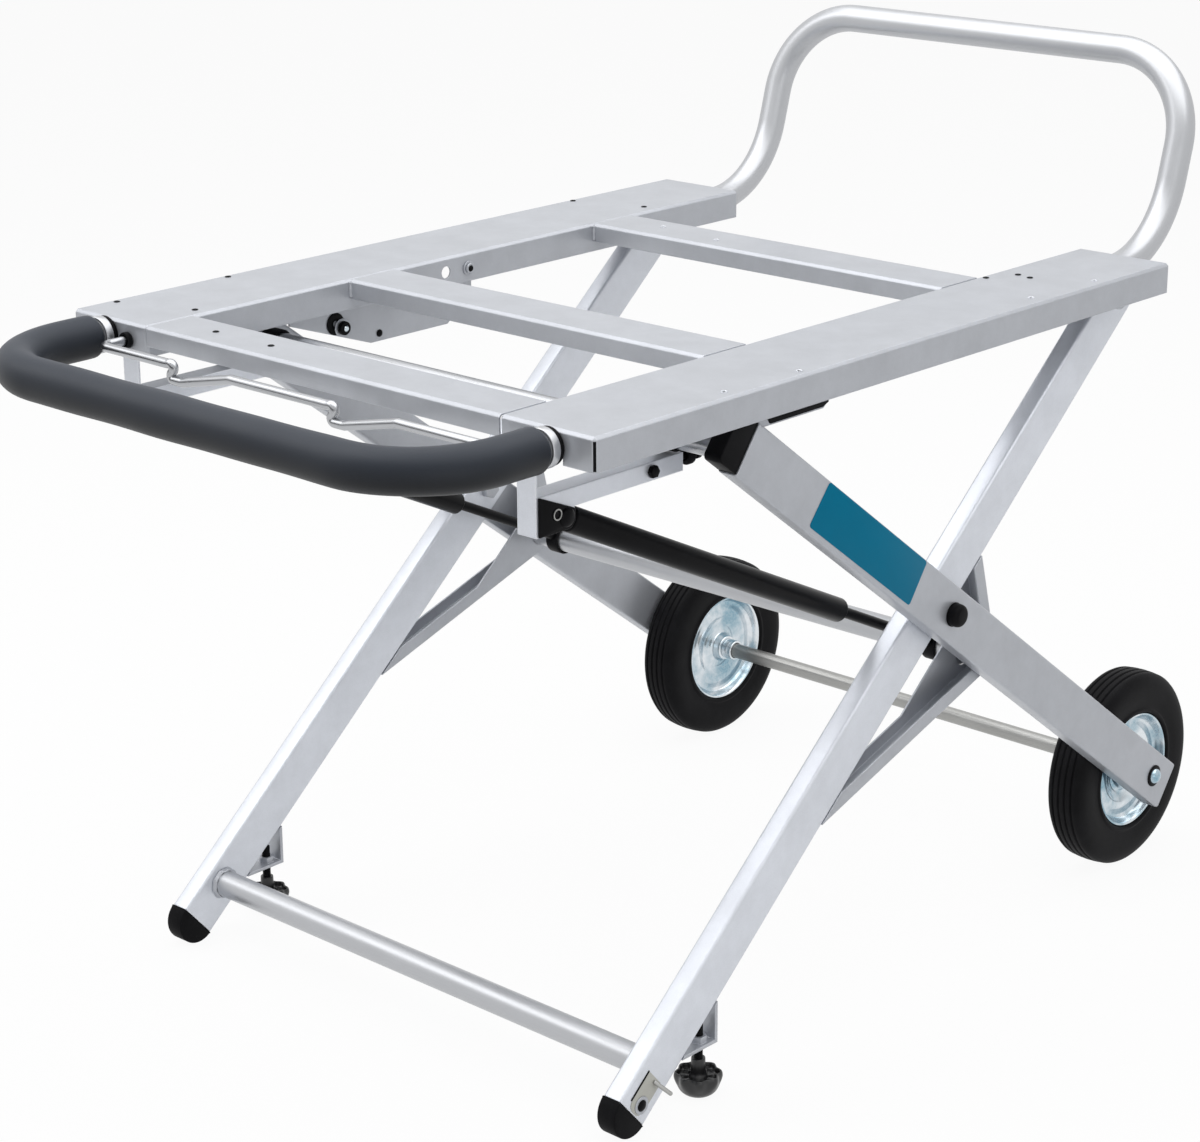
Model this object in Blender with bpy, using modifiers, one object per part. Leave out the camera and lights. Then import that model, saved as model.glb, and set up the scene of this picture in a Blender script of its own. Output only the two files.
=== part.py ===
"""Folding table saw stand on two wheels, built from separate named pieces.

Metres, +Z up, +X the stand's right side, +Y its back. The origin lies on the floor at the middle of its box.
Two pairs of legs cross like scissors. The foot legs hinge at the deck's rear end, and the wheel legs carry a
slide bar whose rollers run along a track under the deck's front end. Inside each leg's frame, local X runs
along the leg, local Y across it towards the rear, and local Z is the stand's X.
"""
import math

import bmesh
import bpy
from mathutils import Matrix, Vector

# Clearances and round detail
GAP = 0.0003
TRACK_GAP = 0.0012
OVERRUN = 0.01
TYRE_STEPS = 32
HUB_STEPS = 24
ROUND_STEPS = 16
BOLT_STEPS = 12
TUBE_STEPS = 4
WIRE_STEPS = 2
BEND_STEPS = 6
WIRE_BEND_STEPS = 3
CAP_STEPS = 18
EAR_STEPS = 8
HEX_SIDES = 6
WELD = 0.00001
FACING_SHARE = 0.9
SHARP_ANGLE = math.radians(40)
HALF_TURN = math.pi
RIGHT_ANGLE = math.pi / 2
SIDES = (("left", -1), ("right", 1))

# Deck
DECK_WIDTH = 0.628
DECK_LENGTH = 0.791
DECK_TOP = 0.628
RAIL_WIDTH = 0.100
RAIL_SKIRT = 0.028
MEMBER_SKIRT = 0.018
SHEET = 0.0015
SHEET_BEND = 0.0025
FRONT_MEMBER_DEPTH = 0.0545
CROSSBAR_DEPTH = 0.058
FRONT_CROSSBAR_Y = 0.2395
REAR_CROSSBAR_Y = 0.5695

# Round tubes of the grip, handle and cross members
TUBE_RADIUS = 0.0127
GRIP_INSET = 0.046
GRIP_REACH = 0.140
GRIP_INSIDE = 0.070
GRIP_CORNER = 0.085
FOAM_RADIUS = 0.019
FOAM_START = 0.015
COLLAR_RADIUS = 0.0165
COLLAR_LENGTH = 0.006
COLLAR_FROM_FRAME = 0.005
HANDLE_RADIUS = 0.014
HANDLE_INSET = 0.064
HANDLE_INSIDE = 0.151
HANDLE_BEND_REACH = 0.0807
HANDLE_REACH = 0.134
HANDLE_TOP = 0.7985
HANDLE_BEND = 0.100
HANDLE_CORNER = 0.085

# Hinge at the deck's rear end, and the foot legs
HINGE_FROM_REAR = 0.0434
HINGE_Z = 0.5993
HINGE_PIN_RADIUS = 0.005
HINGE_HEAD_RADIUS = 0.009
HINGE_HEAD = 0.004
HINGE_EAR = 0.0025
HINGE_EAR_RADIUS = 0.011
HINGE_WEB_REACH = 0.027
HINGE_EAR_RISE = 0.006
LEG_LENGTH = 0.8925
LEG_OVER_HINGE = 0.012
LEG_DEPTH = 0.044
LEG_WIDTH = 0.020
LEG_WALL = 0.0015
LEG_EDGE = 0.003
FOOT_LEG_INSET = 0.0345
CAP_STEM = 0.016
PLUG_FLANGE = 0.0025
PLUG_DEPTH = 0.012
PLUG_INSET = 0.001
CROSSBAR_ALONG = 0.848
CROSSBAR_COLLAR_RADIUS = 0.0175
CROSSBAR_COLLAR = 0.005

# Crossing pivot, wheel legs, slide bar and its track
PIVOT_ALONG = 0.364
PIVOT_RADIUS = 0.006
PIVOT_HEAD_RADIUS = 0.0105
PIVOT_HEAD = 0.006
PIVOT_WASHER_RADIUS = 0.014
PIVOT_WASHER = 0.0011
PIVOT_CAP = 0.0095
PIVOT_CAP_EDGE = 0.0025
WHEEL_LEG_INSET = 0.0125
WHEEL_LEG_DEPTH = 0.048
WHEEL_LEG_TOP = 0.3585
WHEEL_LEG_TAIL = 0.471
AXLE_ALONG = 0.440
SLIDE_PAST_TOP = 0.0115
SLIDE_BELOW = 0.008
SLIDE_RADIUS = 0.009
NOSE_LENGTH = 0.026
NOSE_CORNER = 0.005
ROLLER_RADIUS = 0.0115
ROLLER_WIDTH = 0.019
TRACK_INSET = 0.074
TRACK_WIDTH = 0.020
TRACK_SHEET = 0.002
TRACK_BEHIND_ROLLER = 0.005
TRACK_DEPTH = 0.0155

# Wheels and axle
WHEEL_RADIUS = 0.100
WHEEL_WIDTH = 0.042
WHEEL_INSET = 0.0455
AXLE_RADIUS = 0.008
AXLE_COLLAR_RADIUS = 0.011
AXLE_COLLAR = 0.013
AXLE_BOLT_RADIUS = 0.011
AXLE_BOLT = 0.007
RIM_RADIUS = 0.059
RIM_WIDTH = 0.038
BOSS_RADIUS = 0.0135
BOSS_FOOT_SHARE = 0.5
HUB_DISH_SHARES = ((0.42, 0.36), (0.62, 0.56), (0.84, 0.42))
TYRE_WALL_SHARE = 0.80
TYRE_SHOULDER_SHARE = 0.62
TREAD_SHARES = (0.45, 0.0, -0.45)
TREAD_DEPTH = 0.0025
TREAD_GROOVE = 0.003

# Gas springs
SPRING_PIN_Y = 0.035
SPRING_PIN_UNDER_TRACK = 0.022
SPRING_EYE_ALONG = 0.3487
SPRING_EYE_ACROSS = 0.0988
SPRING_EAR_RADIUS = 0.0105
SPRING_RADIUS = 0.011
SPRING_ROD_RADIUS = 0.005
SPRING_REAR = 0.166
SPRING_FRONT = 0.030
SPRING_EYE_WALL = 0.0025
SPRING_NECK_RADIUS = 0.006
SPRING_HEAD_RADIUS = 0.0095
SPRING_STROKE = 0.148
SPRING_ROD_GUIDE = 0.020
SPRING_EDGE = 0.0015

# Gusset behind each foot leg
GUSSET_TOP_ALONG = 0.288
GUSSET_APEX_ALONG = 0.336
GUSSET_APEX_ACROSS = 0.1246
GUSSET_END_ALONG = 0.585
GUSSET_CORNER = 0.018
GUSSET_WINDOW_CORNER = 0.008
GUSSET_STRIP = 0.013
GUSSET_INNER_EDGE = 0.066
GUSSET_TUBE_OVER = 0.004

# Side plates, stops and small fittings under the rails
SIDE_PLATE_SHEET = 0.002
SIDE_PLATE_FRONT_Y = 0.178
SIDE_PLATE_REAR_Y = 0.412
SIDE_PLATE_FRONT_Z = 0.592
SIDE_PLATE_REAR_Z = 0.584
SIDE_PLATE_LOW_FRONT = (0.278, 0.558)
SIDE_PLATE_LOW_REAR = (0.379, 0.558)
SKIRT_HOLE = (0.363, 0.6135)
SKIRT_HOLE_RADIUS = 0.006
SIDE_HOLE = (0.3795, 0.608)
SIDE_HOLE_RADIUS = 0.009
STOP_SHANK_RADIUS = 0.003
STOP_LENGTH = 0.030
STOP_HEAD_RADIUS = 0.0055
STOP_HEAD = 0.004
STOP_RING_RADIUS = 0.008
STOP_RING = 0.008
STOP_RING_FROM_PLATE = 0.012

# Levelling feet
ADJUSTER_BEHIND_FOOT = 0.096
ADJUSTER_PLATE_BEHIND_FOOT = 0.1095
ADJUSTER_PLATE_Z = 0.047
ADJUSTER_PLATE = 0.003
STEM_RADIUS = 0.004
STEM_TOP = 0.066
STEM_HUB_RADIUS = 0.0062
STEM_HUB_TOP = 0.034
KNOB_RADIUS = 0.0200
KNOB_LOBE = 0.0016
KNOB_LOBES = 8
KNOB_HEIGHT = 0.021
KNOB_EDGE = 0.002
KNOB_STEPS = 40
ADJUSTER_NUT_RADIUS = 0.0075
ADJUSTER_NUT = 0.006

# Release bail
BAIL_INSET = 0.075
BAIL_REACH = 0.030
BAIL_Z = 0.6120
BAIL_RADIUS = 0.0042
BAIL_BEND = 0.010
BAIL_INSIDE = 0.045
BAIL_KINKS = (-0.108, 0.092)
BAIL_KINK_HALF = 0.040
BAIL_KINK_DROP = 0.0135
BAIL_KINK_RISE = 0.0045
BAIL_CREST_SHARE = 0.45
BAIL_HOOK_SHARE = 0.10
BAIL_TIGHT_SHARE = 0.9

# Sizes worked out from the ones above
HALF_WIDTH = DECK_WIDTH / 2
INNER_EDGE = HALF_WIDTH - RAIL_WIDTH
GRIP_X = HALF_WIDTH - GRIP_INSET
HANDLE_X = HALF_WIDTH - HANDLE_INSET
BAIL_X = HALF_WIDTH - BAIL_INSET
FOOT_LEG_X = HALF_WIDTH - FOOT_LEG_INSET
WHEEL_LEG_X = HALF_WIDTH - WHEEL_LEG_INSET
WHEEL_X = HALF_WIDTH - WHEEL_INSET
TRACK_X = HALF_WIDTH - TRACK_INSET
SIDE_PLATE_X = TRACK_X - (TRACK_WIDTH - SIDE_PLATE_SHEET) / 2
DECK_UNDERSIDE = DECK_TOP - SHEET
SEAT_TOP = DECK_UNDERSIDE - GAP
FLANGE_TOP = SEAT_TOP - SHEET_BEND
TUBE_Z = SEAT_TOP - TUBE_RADIUS
HANDLE_Z = SEAT_TOP - HANDLE_RADIUS
HANDLE_INSIDE_Y = DECK_LENGTH - HANDLE_INSIDE
HANDLE_BEND_Y = DECK_LENGTH + HANDLE_BEND_REACH
HANDLE_BACK = DECK_LENGTH + HANDLE_REACH
HINGE_Y = DECK_LENGTH - HINGE_FROM_REAR
CAP_RADIUS = LEG_DEPTH / 2
FOOT_SLOPE = math.asin((HINGE_Z - CAP_RADIUS) / LEG_LENGTH)
FOOT_ANGLE = HALF_TURN + FOOT_SLOPE
FOOT_Y = HINGE_Y - LEG_LENGTH * math.cos(FOOT_SLOPE)
PIVOT_Y = HINGE_Y - PIVOT_ALONG * math.cos(FOOT_SLOPE)
PIVOT_Z = HINGE_Z - PIVOT_ALONG * math.sin(FOOT_SLOPE)
WHEEL_SLOPE = math.asin((PIVOT_Z - WHEEL_RADIUS) / AXLE_ALONG)
SLIDE_ALONG = WHEEL_LEG_TOP + SLIDE_PAST_TOP
ROLLER_Y = PIVOT_Y - SLIDE_ALONG * math.cos(WHEEL_SLOPE) - SLIDE_BELOW * math.sin(WHEEL_SLOPE)
ROLLER_Z = PIVOT_Z + SLIDE_ALONG * math.sin(WHEEL_SLOPE) - SLIDE_BELOW * math.cos(WHEEL_SLOPE)
TRACK_TOP = ROLLER_Z - ROLLER_RADIUS - TRACK_GAP
TRACK_BOTTOM = TRACK_TOP - TRACK_DEPTH
TRACK_FRONT_Y = SHEET + GAP
TRACK_REAR_Y = ROLLER_Y + TRACK_BEHIND_ROLLER
SPRING_PIN_Z = TRACK_TOP - SPRING_PIN_UNDER_TRACK
STOP_Z = (TRACK_TOP + TRACK_BOTTOM) / 2
ADJUSTER_Y = FOOT_Y + ADJUSTER_BEHIND_FOOT
ADJUSTER_PLATE_REAR_Y = FOOT_Y + ADJUSTER_PLATE_BEHIND_FOOT
FRONT_Y = (GRIP_REACH + FOAM_RADIUS - HANDLE_BACK - HANDLE_RADIUS) / 2
BOLT_HOLE = PIVOT_RADIUS + GAP

PARTS = None
CUTTERS = None


def start():
    """Empties the scene, and makes the collections for the parts and for what cuts them."""
    global PARTS, CUTTERS
    for item in list(bpy.data.objects):
        bpy.data.objects.remove(item, do_unlink=True)
    PARTS = bpy.data.collections.new("table_saw_stand")
    CUTTERS = bpy.data.collections.new("cutters")
    bpy.context.scene.collection.children.link(PARTS)
    bpy.context.scene.collection.children.link(CUTTERS)


def material(name, colour, roughness, metallic):
    look = bpy.data.materials.new(name)
    look.use_nodes = True
    shader = look.node_tree.nodes["Principled BSDF"]
    shader.inputs["Base Color"].default_value = (*colour, 1.0)
    shader.inputs["Roughness"].default_value = roughness
    shader.inputs["Metallic"].default_value = metallic
    look.diffuse_color = (*colour, 1.0)
    return look


def pivot(name, parent, spot, turn=(0, 0, 0)):
    """An empty that carries a body: its origin lies on the body's joint axis."""
    item = bpy.data.objects.new(name, None)
    item.parent = parent
    item.location = spot
    item.rotation_euler = turn
    PARTS.objects.link(item)
    return item


def place(item, node, look, body, spot=(0, 0, 0), turn=(0, 0, 0)):
    """Puts an object into the parts under its node name, in the frame of the body that carries it."""
    item.name = node
    item.data.name = node
    item.data.materials.clear()
    item.data.materials.append(look)
    item.parent = body
    item.location = spot
    item.rotation_euler = turn
    PARTS.objects.link(item)
    return item


def combine(target, other, spot=(0, 0, 0), turn=(0, 0, 0), operation="DIFFERENCE"):
    """Cuts or joins a placed object with a hidden one given in the same body's frame."""
    other.name = target.name + "_shape"
    other.parent = target.parent
    other.location = spot
    other.rotation_euler = turn
    other.hide_render = True
    other.display_type = "WIRE"
    CUTTERS.objects.link(other)
    change = target.modifiers.new("shape", "BOOLEAN")
    change.operation = operation
    change.solver = "EXACT"
    change.object = other


def block(size):
    """A box with its centre at the origin."""
    grid = bmesh.new()
    bmesh.ops.create_cube(grid, size=1)
    bmesh.ops.scale(grid, vec=Vector(size), verts=grid.verts)
    return finished(grid, "block")


def rod(radius, length, sides=ROUND_STEPS):
    """A cylinder along local Z with its centre at the origin."""
    grid = bmesh.new()
    bmesh.ops.create_cone(grid, cap_ends=True, segments=sides, radius1=radius, radius2=radius, depth=length)
    return finished(grid, "rod", smooth=sides > HEX_SIDES)


def finished(grid, name, smooth=False):
    """Makes an object of a bmesh, with smooth round sides where asked."""
    mesh = bpy.data.meshes.new(name)
    grid.to_mesh(mesh)
    grid.free()
    if smooth:
        mesh.shade_smooth()
        mesh.set_sharp_from_angle(angle=SHARP_ANGLE)
    return bpy.data.objects.new(name, mesh)


def open_box(size, open_sides):
    """A box surface without the faces whose normals are given."""
    grid = bmesh.new()
    bmesh.ops.create_cube(grid, size=1)
    bmesh.ops.scale(grid, vec=Vector(size), verts=grid.verts)
    grid.normal_update()
    away = []
    for face in grid.faces:
        if any(face.normal.dot(Vector(side)) > FACING_SHARE for side in open_sides):
            away.append(face)
    bmesh.ops.delete(grid, geom=away, context="FACES")
    return finished(grid, "sheet")


def bevel(item, width, steps=1):
    change = item.modifiers.new("edges", "BEVEL")
    change.width = width
    change.segments = steps
    change.limit_method = "ANGLE"


def thicken(item, thickness):
    """Turns an open surface into a sheet that lies inside it."""
    change = item.modifiers.new("sheet", "SOLIDIFY")
    change.thickness = thickness
    change.offset = -1
    change.use_even_offset = True


def flip(side):
    """The turn that carries a round piece made for the stand's right over to its left."""
    return (HALF_TURN, 0, 0) if side < 0 else (0, 0, 0)


def turned(profile, steps=ROUND_STEPS, closed=True):
    """A profile of (radius, height) turned about local Z; its outer side runs downwards.

    A closed profile leaves a bore. An open one starts and ends on the axis.
    """
    mesh = bpy.data.meshes.new("turned")
    points = [(radius, 0, height) for radius, height in profile]
    edges = [(i, i + 1) for i in range(len(points) - 1)]
    if closed:
        edges.append((len(points) - 1, 0))
    mesh.from_pydata(points, edges, [])
    item = bpy.data.objects.new("turned", mesh)
    change = item.modifiers.new("turn", "SCREW")
    change.axis = "Z"
    change.angle = 2 * math.pi
    change.steps = steps
    change.render_steps = steps
    change.use_merge_vertices = True
    change.merge_threshold = WELD
    change.use_smooth_shade = True
    return item


def ring(outer, inner, low, high, steps=ROUND_STEPS):
    """A plain ring about local Z between two heights."""
    return turned([(outer, high), (outer, low), (inner, low), (inner, high)], steps)


def arc(centre, radius, first, last, steps):
    """Points of an arc from one angle to another, both in radians."""
    points = []
    for i in range(steps + 1):
        angle = first + (last - first) * i / steps
        points.append((centre[0] + radius * math.cos(angle), centre[1] + radius * math.sin(angle)))
    return points


def circle(centre, radius, steps=BOLT_STEPS):
    return arc(centre, radius, 0, 2 * math.pi, steps)[:-1]


def rounded(points, radii, steps=BEND_STEPS):
    """A route whose inner corners are replaced by tangent arcs of the given radii."""
    points = [Vector(point) for point in points]
    route = [points[0]]
    for before, corner, after, radius in zip(points, points[1:], points[2:], radii):
        back = (before - corner).normalized()
        ahead = (after - corner).normalized()
        half = back.angle(ahead) / 2
        middle = corner + (back + ahead).normalized() * radius / math.sin(half)
        start_arm = corner + back * radius / math.tan(half) - middle
        end_arm = corner + ahead * radius / math.tan(half) - middle
        sweep = start_arm.angle(end_arm)
        for i in range(steps + 1):
            share = i / steps
            arm = start_arm * math.sin((1 - share) * sweep) + end_arm * math.sin(share * sweep)
            route.append(middle + arm / math.sin(sweep))
    route.append(points[-1])
    return route


def welded(item):
    """The curve's evaluated shape as a closed mesh object; the curve is removed."""
    CUTTERS.objects.link(item)
    bpy.context.view_layer.update()
    graph = bpy.context.evaluated_depsgraph_get()
    mesh = bpy.data.meshes.new_from_object(item.evaluated_get(graph))
    grid = bmesh.new()
    grid.from_mesh(mesh)
    bmesh.ops.remove_doubles(grid, verts=grid.verts, dist=WELD)
    bmesh.ops.recalc_face_normals(grid, faces=grid.faces)
    grid.to_mesh(mesh)
    grid.free()
    result = bpy.data.objects.new("welded", mesh)
    result.matrix_world = item.matrix_world
    bpy.data.objects.remove(item, do_unlink=True)
    return result


def plate(outline, thickness, holes=()):
    """A flat outline in local X and Y, extruded to a thickness about local Z = 0."""
    curve = bpy.data.curves.new("plate", "CURVE")
    curve.dimensions = "2D"
    curve.fill_mode = "BOTH"
    curve.extrude = thickness / 2
    for loop in (outline, *holes):
        spline = curve.splines.new("POLY")
        spline.points.add(len(loop) - 1)
        for point, (x, y) in zip(spline.points, loop):
            point.co = (x, y, 0, 1)
        spline.use_cyclic_u = True
    return welded(bpy.data.objects.new("plate", curve))


def tube(route, radius, steps=TUBE_STEPS, caps=True):
    """A round tube along a route of points."""
    curve = bpy.data.curves.new("tube", "CURVE")
    curve.dimensions = "3D"
    curve.bevel_depth = radius
    curve.bevel_resolution = steps
    curve.use_fill_caps = caps
    spline = curve.splines.new("POLY")
    spline.points.add(len(route) - 1)
    for point, spot in zip(spline.points, route):
        point.co = (*spot, 1)
    return bpy.data.objects.new("tube", curve)


def in_leg(y, z):
    """A place in the side view, given in the foot leg's frame: along it and across it."""
    dy = y - HINGE_Y
    dz = z - HINGE_Z
    along = dy * math.cos(FOOT_ANGLE) + dz * math.sin(FOOT_ANGLE)
    across = -dy * math.sin(FOOT_ANGLE) + dz * math.cos(FOOT_ANGLE)
    return along, across


def from_leg(along, across):
    """A place in the foot leg's frame, given in the side view as y and z."""
    y = HINGE_Y + along * math.cos(FOOT_ANGLE) - across * math.sin(FOOT_ANGLE)
    z = HINGE_Z + along * math.sin(FOOT_ANGLE) + across * math.cos(FOOT_ANGLE)
    return y, z


def spring_line():
    """The gas spring's length between its pins, and its angle in the side view, from the rear eye."""
    eye_y, eye_z = from_leg(SPRING_EYE_ALONG, SPRING_EYE_ACROSS)
    dy = SPRING_PIN_Y - eye_y
    dz = SPRING_PIN_Z - eye_z
    return math.hypot(dy, dz), math.atan2(dz, dy)


def rails(deck, paint):
    """Pressed channels, open below and behind, with the grip tube's slot in the front skirt."""
    for name, side in SIDES:
        rail = open_box((RAIL_WIDTH, DECK_LENGTH, RAIL_SKIRT), ((0, 0, -1), (0, 1, 0)))
        bevel(rail, SHEET_BEND)
        thicken(rail, SHEET)
        middle = side * (HALF_WIDTH - RAIL_WIDTH / 2)
        spot = (middle, DECK_LENGTH / 2, DECK_TOP - RAIL_SKIRT / 2)
        place(rail, "rail_" + name, paint, deck, spot)
        slot_radius = TUBE_RADIUS + GAP
        through = (RIGHT_ANGLE, 0, 0)
        combine(rail, rod(slot_radius, 2 * OVERRUN, ROUND_STEPS), (side * GRIP_X, 0, TUBE_Z), through)
        below = (side * GRIP_X, 0, TUBE_Z - RAIL_SKIRT / 2)
        combine(rail, block((2 * slot_radius, 2 * OVERRUN, RAIL_SKIRT)), below)
        combine(rail, rod(BAIL_RADIUS + 2 * GAP, 2 * OVERRUN, BOLT_STEPS), (side * BAIL_X, 0, BAIL_Z), through)
        skirt_hole = rod(SKIRT_HOLE_RADIUS, 2 * OVERRUN, BOLT_STEPS)
        hole_y, hole_z = SKIRT_HOLE
        combine(rail, skirt_hole, (side * INNER_EDGE, hole_y, hole_z), (0, RIGHT_ANGLE, 0))


def cross_channels(deck, paint):
    """The front member and the two crossbars: shallower channels with their ends against the rails."""
    length = 2 * (INNER_EDGE - GAP)
    rows = (("front_member", 0, FRONT_MEMBER_DEPTH), ("crossbar_front", FRONT_CROSSBAR_Y, CROSSBAR_DEPTH),
            ("crossbar_rear", REAR_CROSSBAR_Y, CROSSBAR_DEPTH))
    for node, front, depth in rows:
        bar = open_box((length, depth, MEMBER_SKIRT), ((0, 0, -1), (1, 0, 0), (-1, 0, 0)))
        bevel(bar, SHEET_BEND)
        thicken(bar, SHEET)
        place(bar, node, paint, deck, (0, front + depth / 2, DECK_TOP - MEMBER_SKIRT / 2))


def grip_route(start_y):
    """The front grip's centre line, from one leg round to the other."""
    corners = [(-GRIP_X, start_y, TUBE_Z), (-GRIP_X, -GRIP_REACH, TUBE_Z),
               (GRIP_X, -GRIP_REACH, TUBE_Z), (GRIP_X, start_y, TUBE_Z)]
    return rounded(corners, (GRIP_CORNER, GRIP_CORNER))


def front_grip(deck, bare, foam):
    """The bent tube with its two collars, and the foam sleeve in front of them."""
    grip = welded(tube(grip_route(GRIP_INSIDE), TUBE_RADIUS))
    place(grip, "grip_tube", bare, deck)
    for _, side in SIDES:
        spot = (side * GRIP_X, -COLLAR_FROM_FRAME - COLLAR_LENGTH / 2, TUBE_Z)
        collar = rod(COLLAR_RADIUS, COLLAR_LENGTH)
        combine(grip, collar, spot, (RIGHT_ANGLE, 0, 0), "UNION")
    sleeve = welded(tube(grip_route(-FOAM_START), FOAM_RADIUS, caps=False))
    sides = 2 * (TUBE_STEPS + 2)
    thicken(sleeve, FOAM_RADIUS * math.cos(HALF_TURN / sides) - TUBE_RADIUS - GAP)
    place(sleeve, "grip_foam", foam, deck)


def rear_handle(deck, bare):
    """One tube that leaves both rails at the back, bends up and closes in a round-cornered loop."""
    corners = []
    corners.append((-HANDLE_X, HANDLE_INSIDE_Y, HANDLE_Z))
    corners.append((-HANDLE_X, HANDLE_BEND_Y, HANDLE_Z))
    corners.append((-HANDLE_X, HANDLE_BACK, HANDLE_TOP))
    corners.append((HANDLE_X, HANDLE_BACK, HANDLE_TOP))
    corners.append((HANDLE_X, HANDLE_BEND_Y, HANDLE_Z))
    corners.append((HANDLE_X, HANDLE_INSIDE_Y, HANDLE_Z))
    radii = (HANDLE_BEND, HANDLE_CORNER, HANDLE_CORNER, HANDLE_BEND)
    place(tube(rounded(corners, radii), HANDLE_RADIUS), "rear_handle", bare, deck)


def track_brackets(side_view, paint):
    """Channels that carry the rollers, with ears for the gas spring and a flange up to the deck."""
    ear_rear = SPRING_PIN_Y + SPRING_EAR_RADIUS
    ear_bottom = SPRING_PIN_Z - SPRING_EAR_RADIUS
    outline = [(TRACK_FRONT_Y, TRACK_TOP), (TRACK_FRONT_Y, ear_bottom)]
    outline += arc((SPRING_PIN_Y, SPRING_PIN_Z), SPRING_EAR_RADIUS, -RIGHT_ANGLE, 0, EAR_STEPS // 2)
    outline += [(ear_rear, TRACK_BOTTOM), (TRACK_REAR_Y, TRACK_BOTTOM), (TRACK_REAR_Y, TRACK_TOP)]
    hole = circle((SPRING_PIN_Y, SPRING_PIN_Z), SPRING_ROD_RADIUS)
    inside_length = TRACK_REAR_Y - TRACK_FRONT_Y - 2 * TRACK_SHEET
    inside_top = TRACK_TOP - TRACK_SHEET
    inside_height = inside_top - ear_bottom + OVERRUN
    for name, side in SIDES:
        bracket = plate(outline, TRACK_WIDTH, [hole])
        place(bracket, "track_bracket_" + name, paint, side_view, (0, 0, side * TRACK_X))
        inside = block((inside_length, inside_height, TRACK_WIDTH - 2 * TRACK_SHEET))
        middle_y = (TRACK_FRONT_Y + TRACK_REAR_Y) / 2
        combine(bracket, inside, (middle_y, inside_top - inside_height / 2, side * TRACK_X))
        flange_bottom = TRACK_TOP - TRACK_SHEET
        flange = block((TRACK_SHEET, FLANGE_TOP - flange_bottom, TRACK_WIDTH))
        flange_spot = (TRACK_FRONT_Y + TRACK_SHEET / 2, (FLANGE_TOP + flange_bottom) / 2, side * TRACK_X)
        combine(bracket, flange, flange_spot, operation="UNION")
        arm_hole = rod(BAIL_RADIUS + 2 * GAP, 2 * OVERRUN, BOLT_STEPS)
        combine(bracket, arm_hole, (TRACK_FRONT_Y, BAIL_Z, side * BAIL_X), (0, RIGHT_ANGLE, 0))


def side_plates(side_view, paint):
    """Deep plates under the rails with a lightening hole."""
    outline = [(SIDE_PLATE_FRONT_Y, SEAT_TOP), (SIDE_PLATE_FRONT_Y, SIDE_PLATE_FRONT_Z), SIDE_PLATE_LOW_FRONT,
               SIDE_PLATE_LOW_REAR, (SIDE_PLATE_REAR_Y, SIDE_PLATE_REAR_Z), (SIDE_PLATE_REAR_Y, SEAT_TOP)]
    for name, side in SIDES:
        item = plate(outline, SIDE_PLATE_SHEET, [circle(SIDE_HOLE, SIDE_HOLE_RADIUS)])
        place(item, "side_plate_" + name, paint, side_view, (0, 0, side * SIDE_PLATE_X))


def hinge_brackets(side_view, paint, zinc):
    """A pair of ears round each foot leg's top, joined behind it, with the hinge pin through them."""
    web_y = HINGE_Y + HINGE_WEB_REACH + HINGE_EAR
    front_y = HINGE_Y - HINGE_EAR_RADIUS
    outline = [(front_y, SEAT_TOP)]
    outline += arc((HINGE_Y, HINGE_Z), HINGE_EAR_RADIUS, HALF_TURN, 2 * HALF_TURN, EAR_STEPS)
    outline += [(web_y, HINGE_Z + HINGE_EAR_RISE), (web_y, SEAT_TOP)]
    hole = circle((HINGE_Y, HINGE_Z), HINGE_PIN_RADIUS + GAP)
    clear_width = LEG_WIDTH + 2 * GAP
    outer_width = clear_width + 2 * HINGE_EAR
    channel_length = HINGE_WEB_REACH + HINGE_EAR_RADIUS + OVERRUN
    channel_height = RAIL_SKIRT + 2 * OVERRUN
    inner = FOOT_LEG_X - outer_width / 2
    outer = FOOT_LEG_X + outer_width / 2 + GAP
    profile = [(0, outer + HINGE_HEAD), (HINGE_HEAD_RADIUS, outer + HINGE_HEAD), (HINGE_HEAD_RADIUS, outer),
               (HINGE_PIN_RADIUS, outer), (HINGE_PIN_RADIUS, inner), (0, inner)]
    for name, side in SIDES:
        bracket = plate(outline, outer_width, [hole])
        place(bracket, "hinge_bracket_" + name, paint, side_view, (0, 0, side * FOOT_LEG_X))
        channel = block((channel_length, 2 * channel_height, clear_width))
        channel_spot = (HINGE_Y + HINGE_WEB_REACH - channel_length / 2, HINGE_Z, side * FOOT_LEG_X)
        combine(bracket, channel, channel_spot)
        pin = turned(profile, BOLT_STEPS, closed=False)
        place(pin, "hinge_pin_" + name, zinc, side_view, (HINGE_Y, HINGE_Z, 0), flip(side))


def stop_bolts(side_view, zinc):
    """A bolt with a buffer ring behind each track bracket."""
    plate_face = TRACK_REAR_Y + GAP
    end = plate_face + STOP_LENGTH
    low = plate_face + STOP_RING_FROM_PLATE
    high = low + STOP_RING
    profile = [(0, end), (STOP_HEAD_RADIUS, end), (STOP_HEAD_RADIUS, end - STOP_HEAD),
               (STOP_SHANK_RADIUS, end - STOP_HEAD), (STOP_SHANK_RADIUS, high), (STOP_RING_RADIUS, high),
               (STOP_RING_RADIUS, low), (STOP_SHANK_RADIUS, low), (STOP_SHANK_RADIUS, plate_face),
               (0, plate_face)]
    for name, side in SIDES:
        bolt = turned(profile, BOLT_STEPS, closed=False)
        place(bolt, "stop_bolt_" + name, zinc, side_view, (0, STOP_Z, side * TRACK_X), (0, RIGHT_ANGLE, 0))


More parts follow.
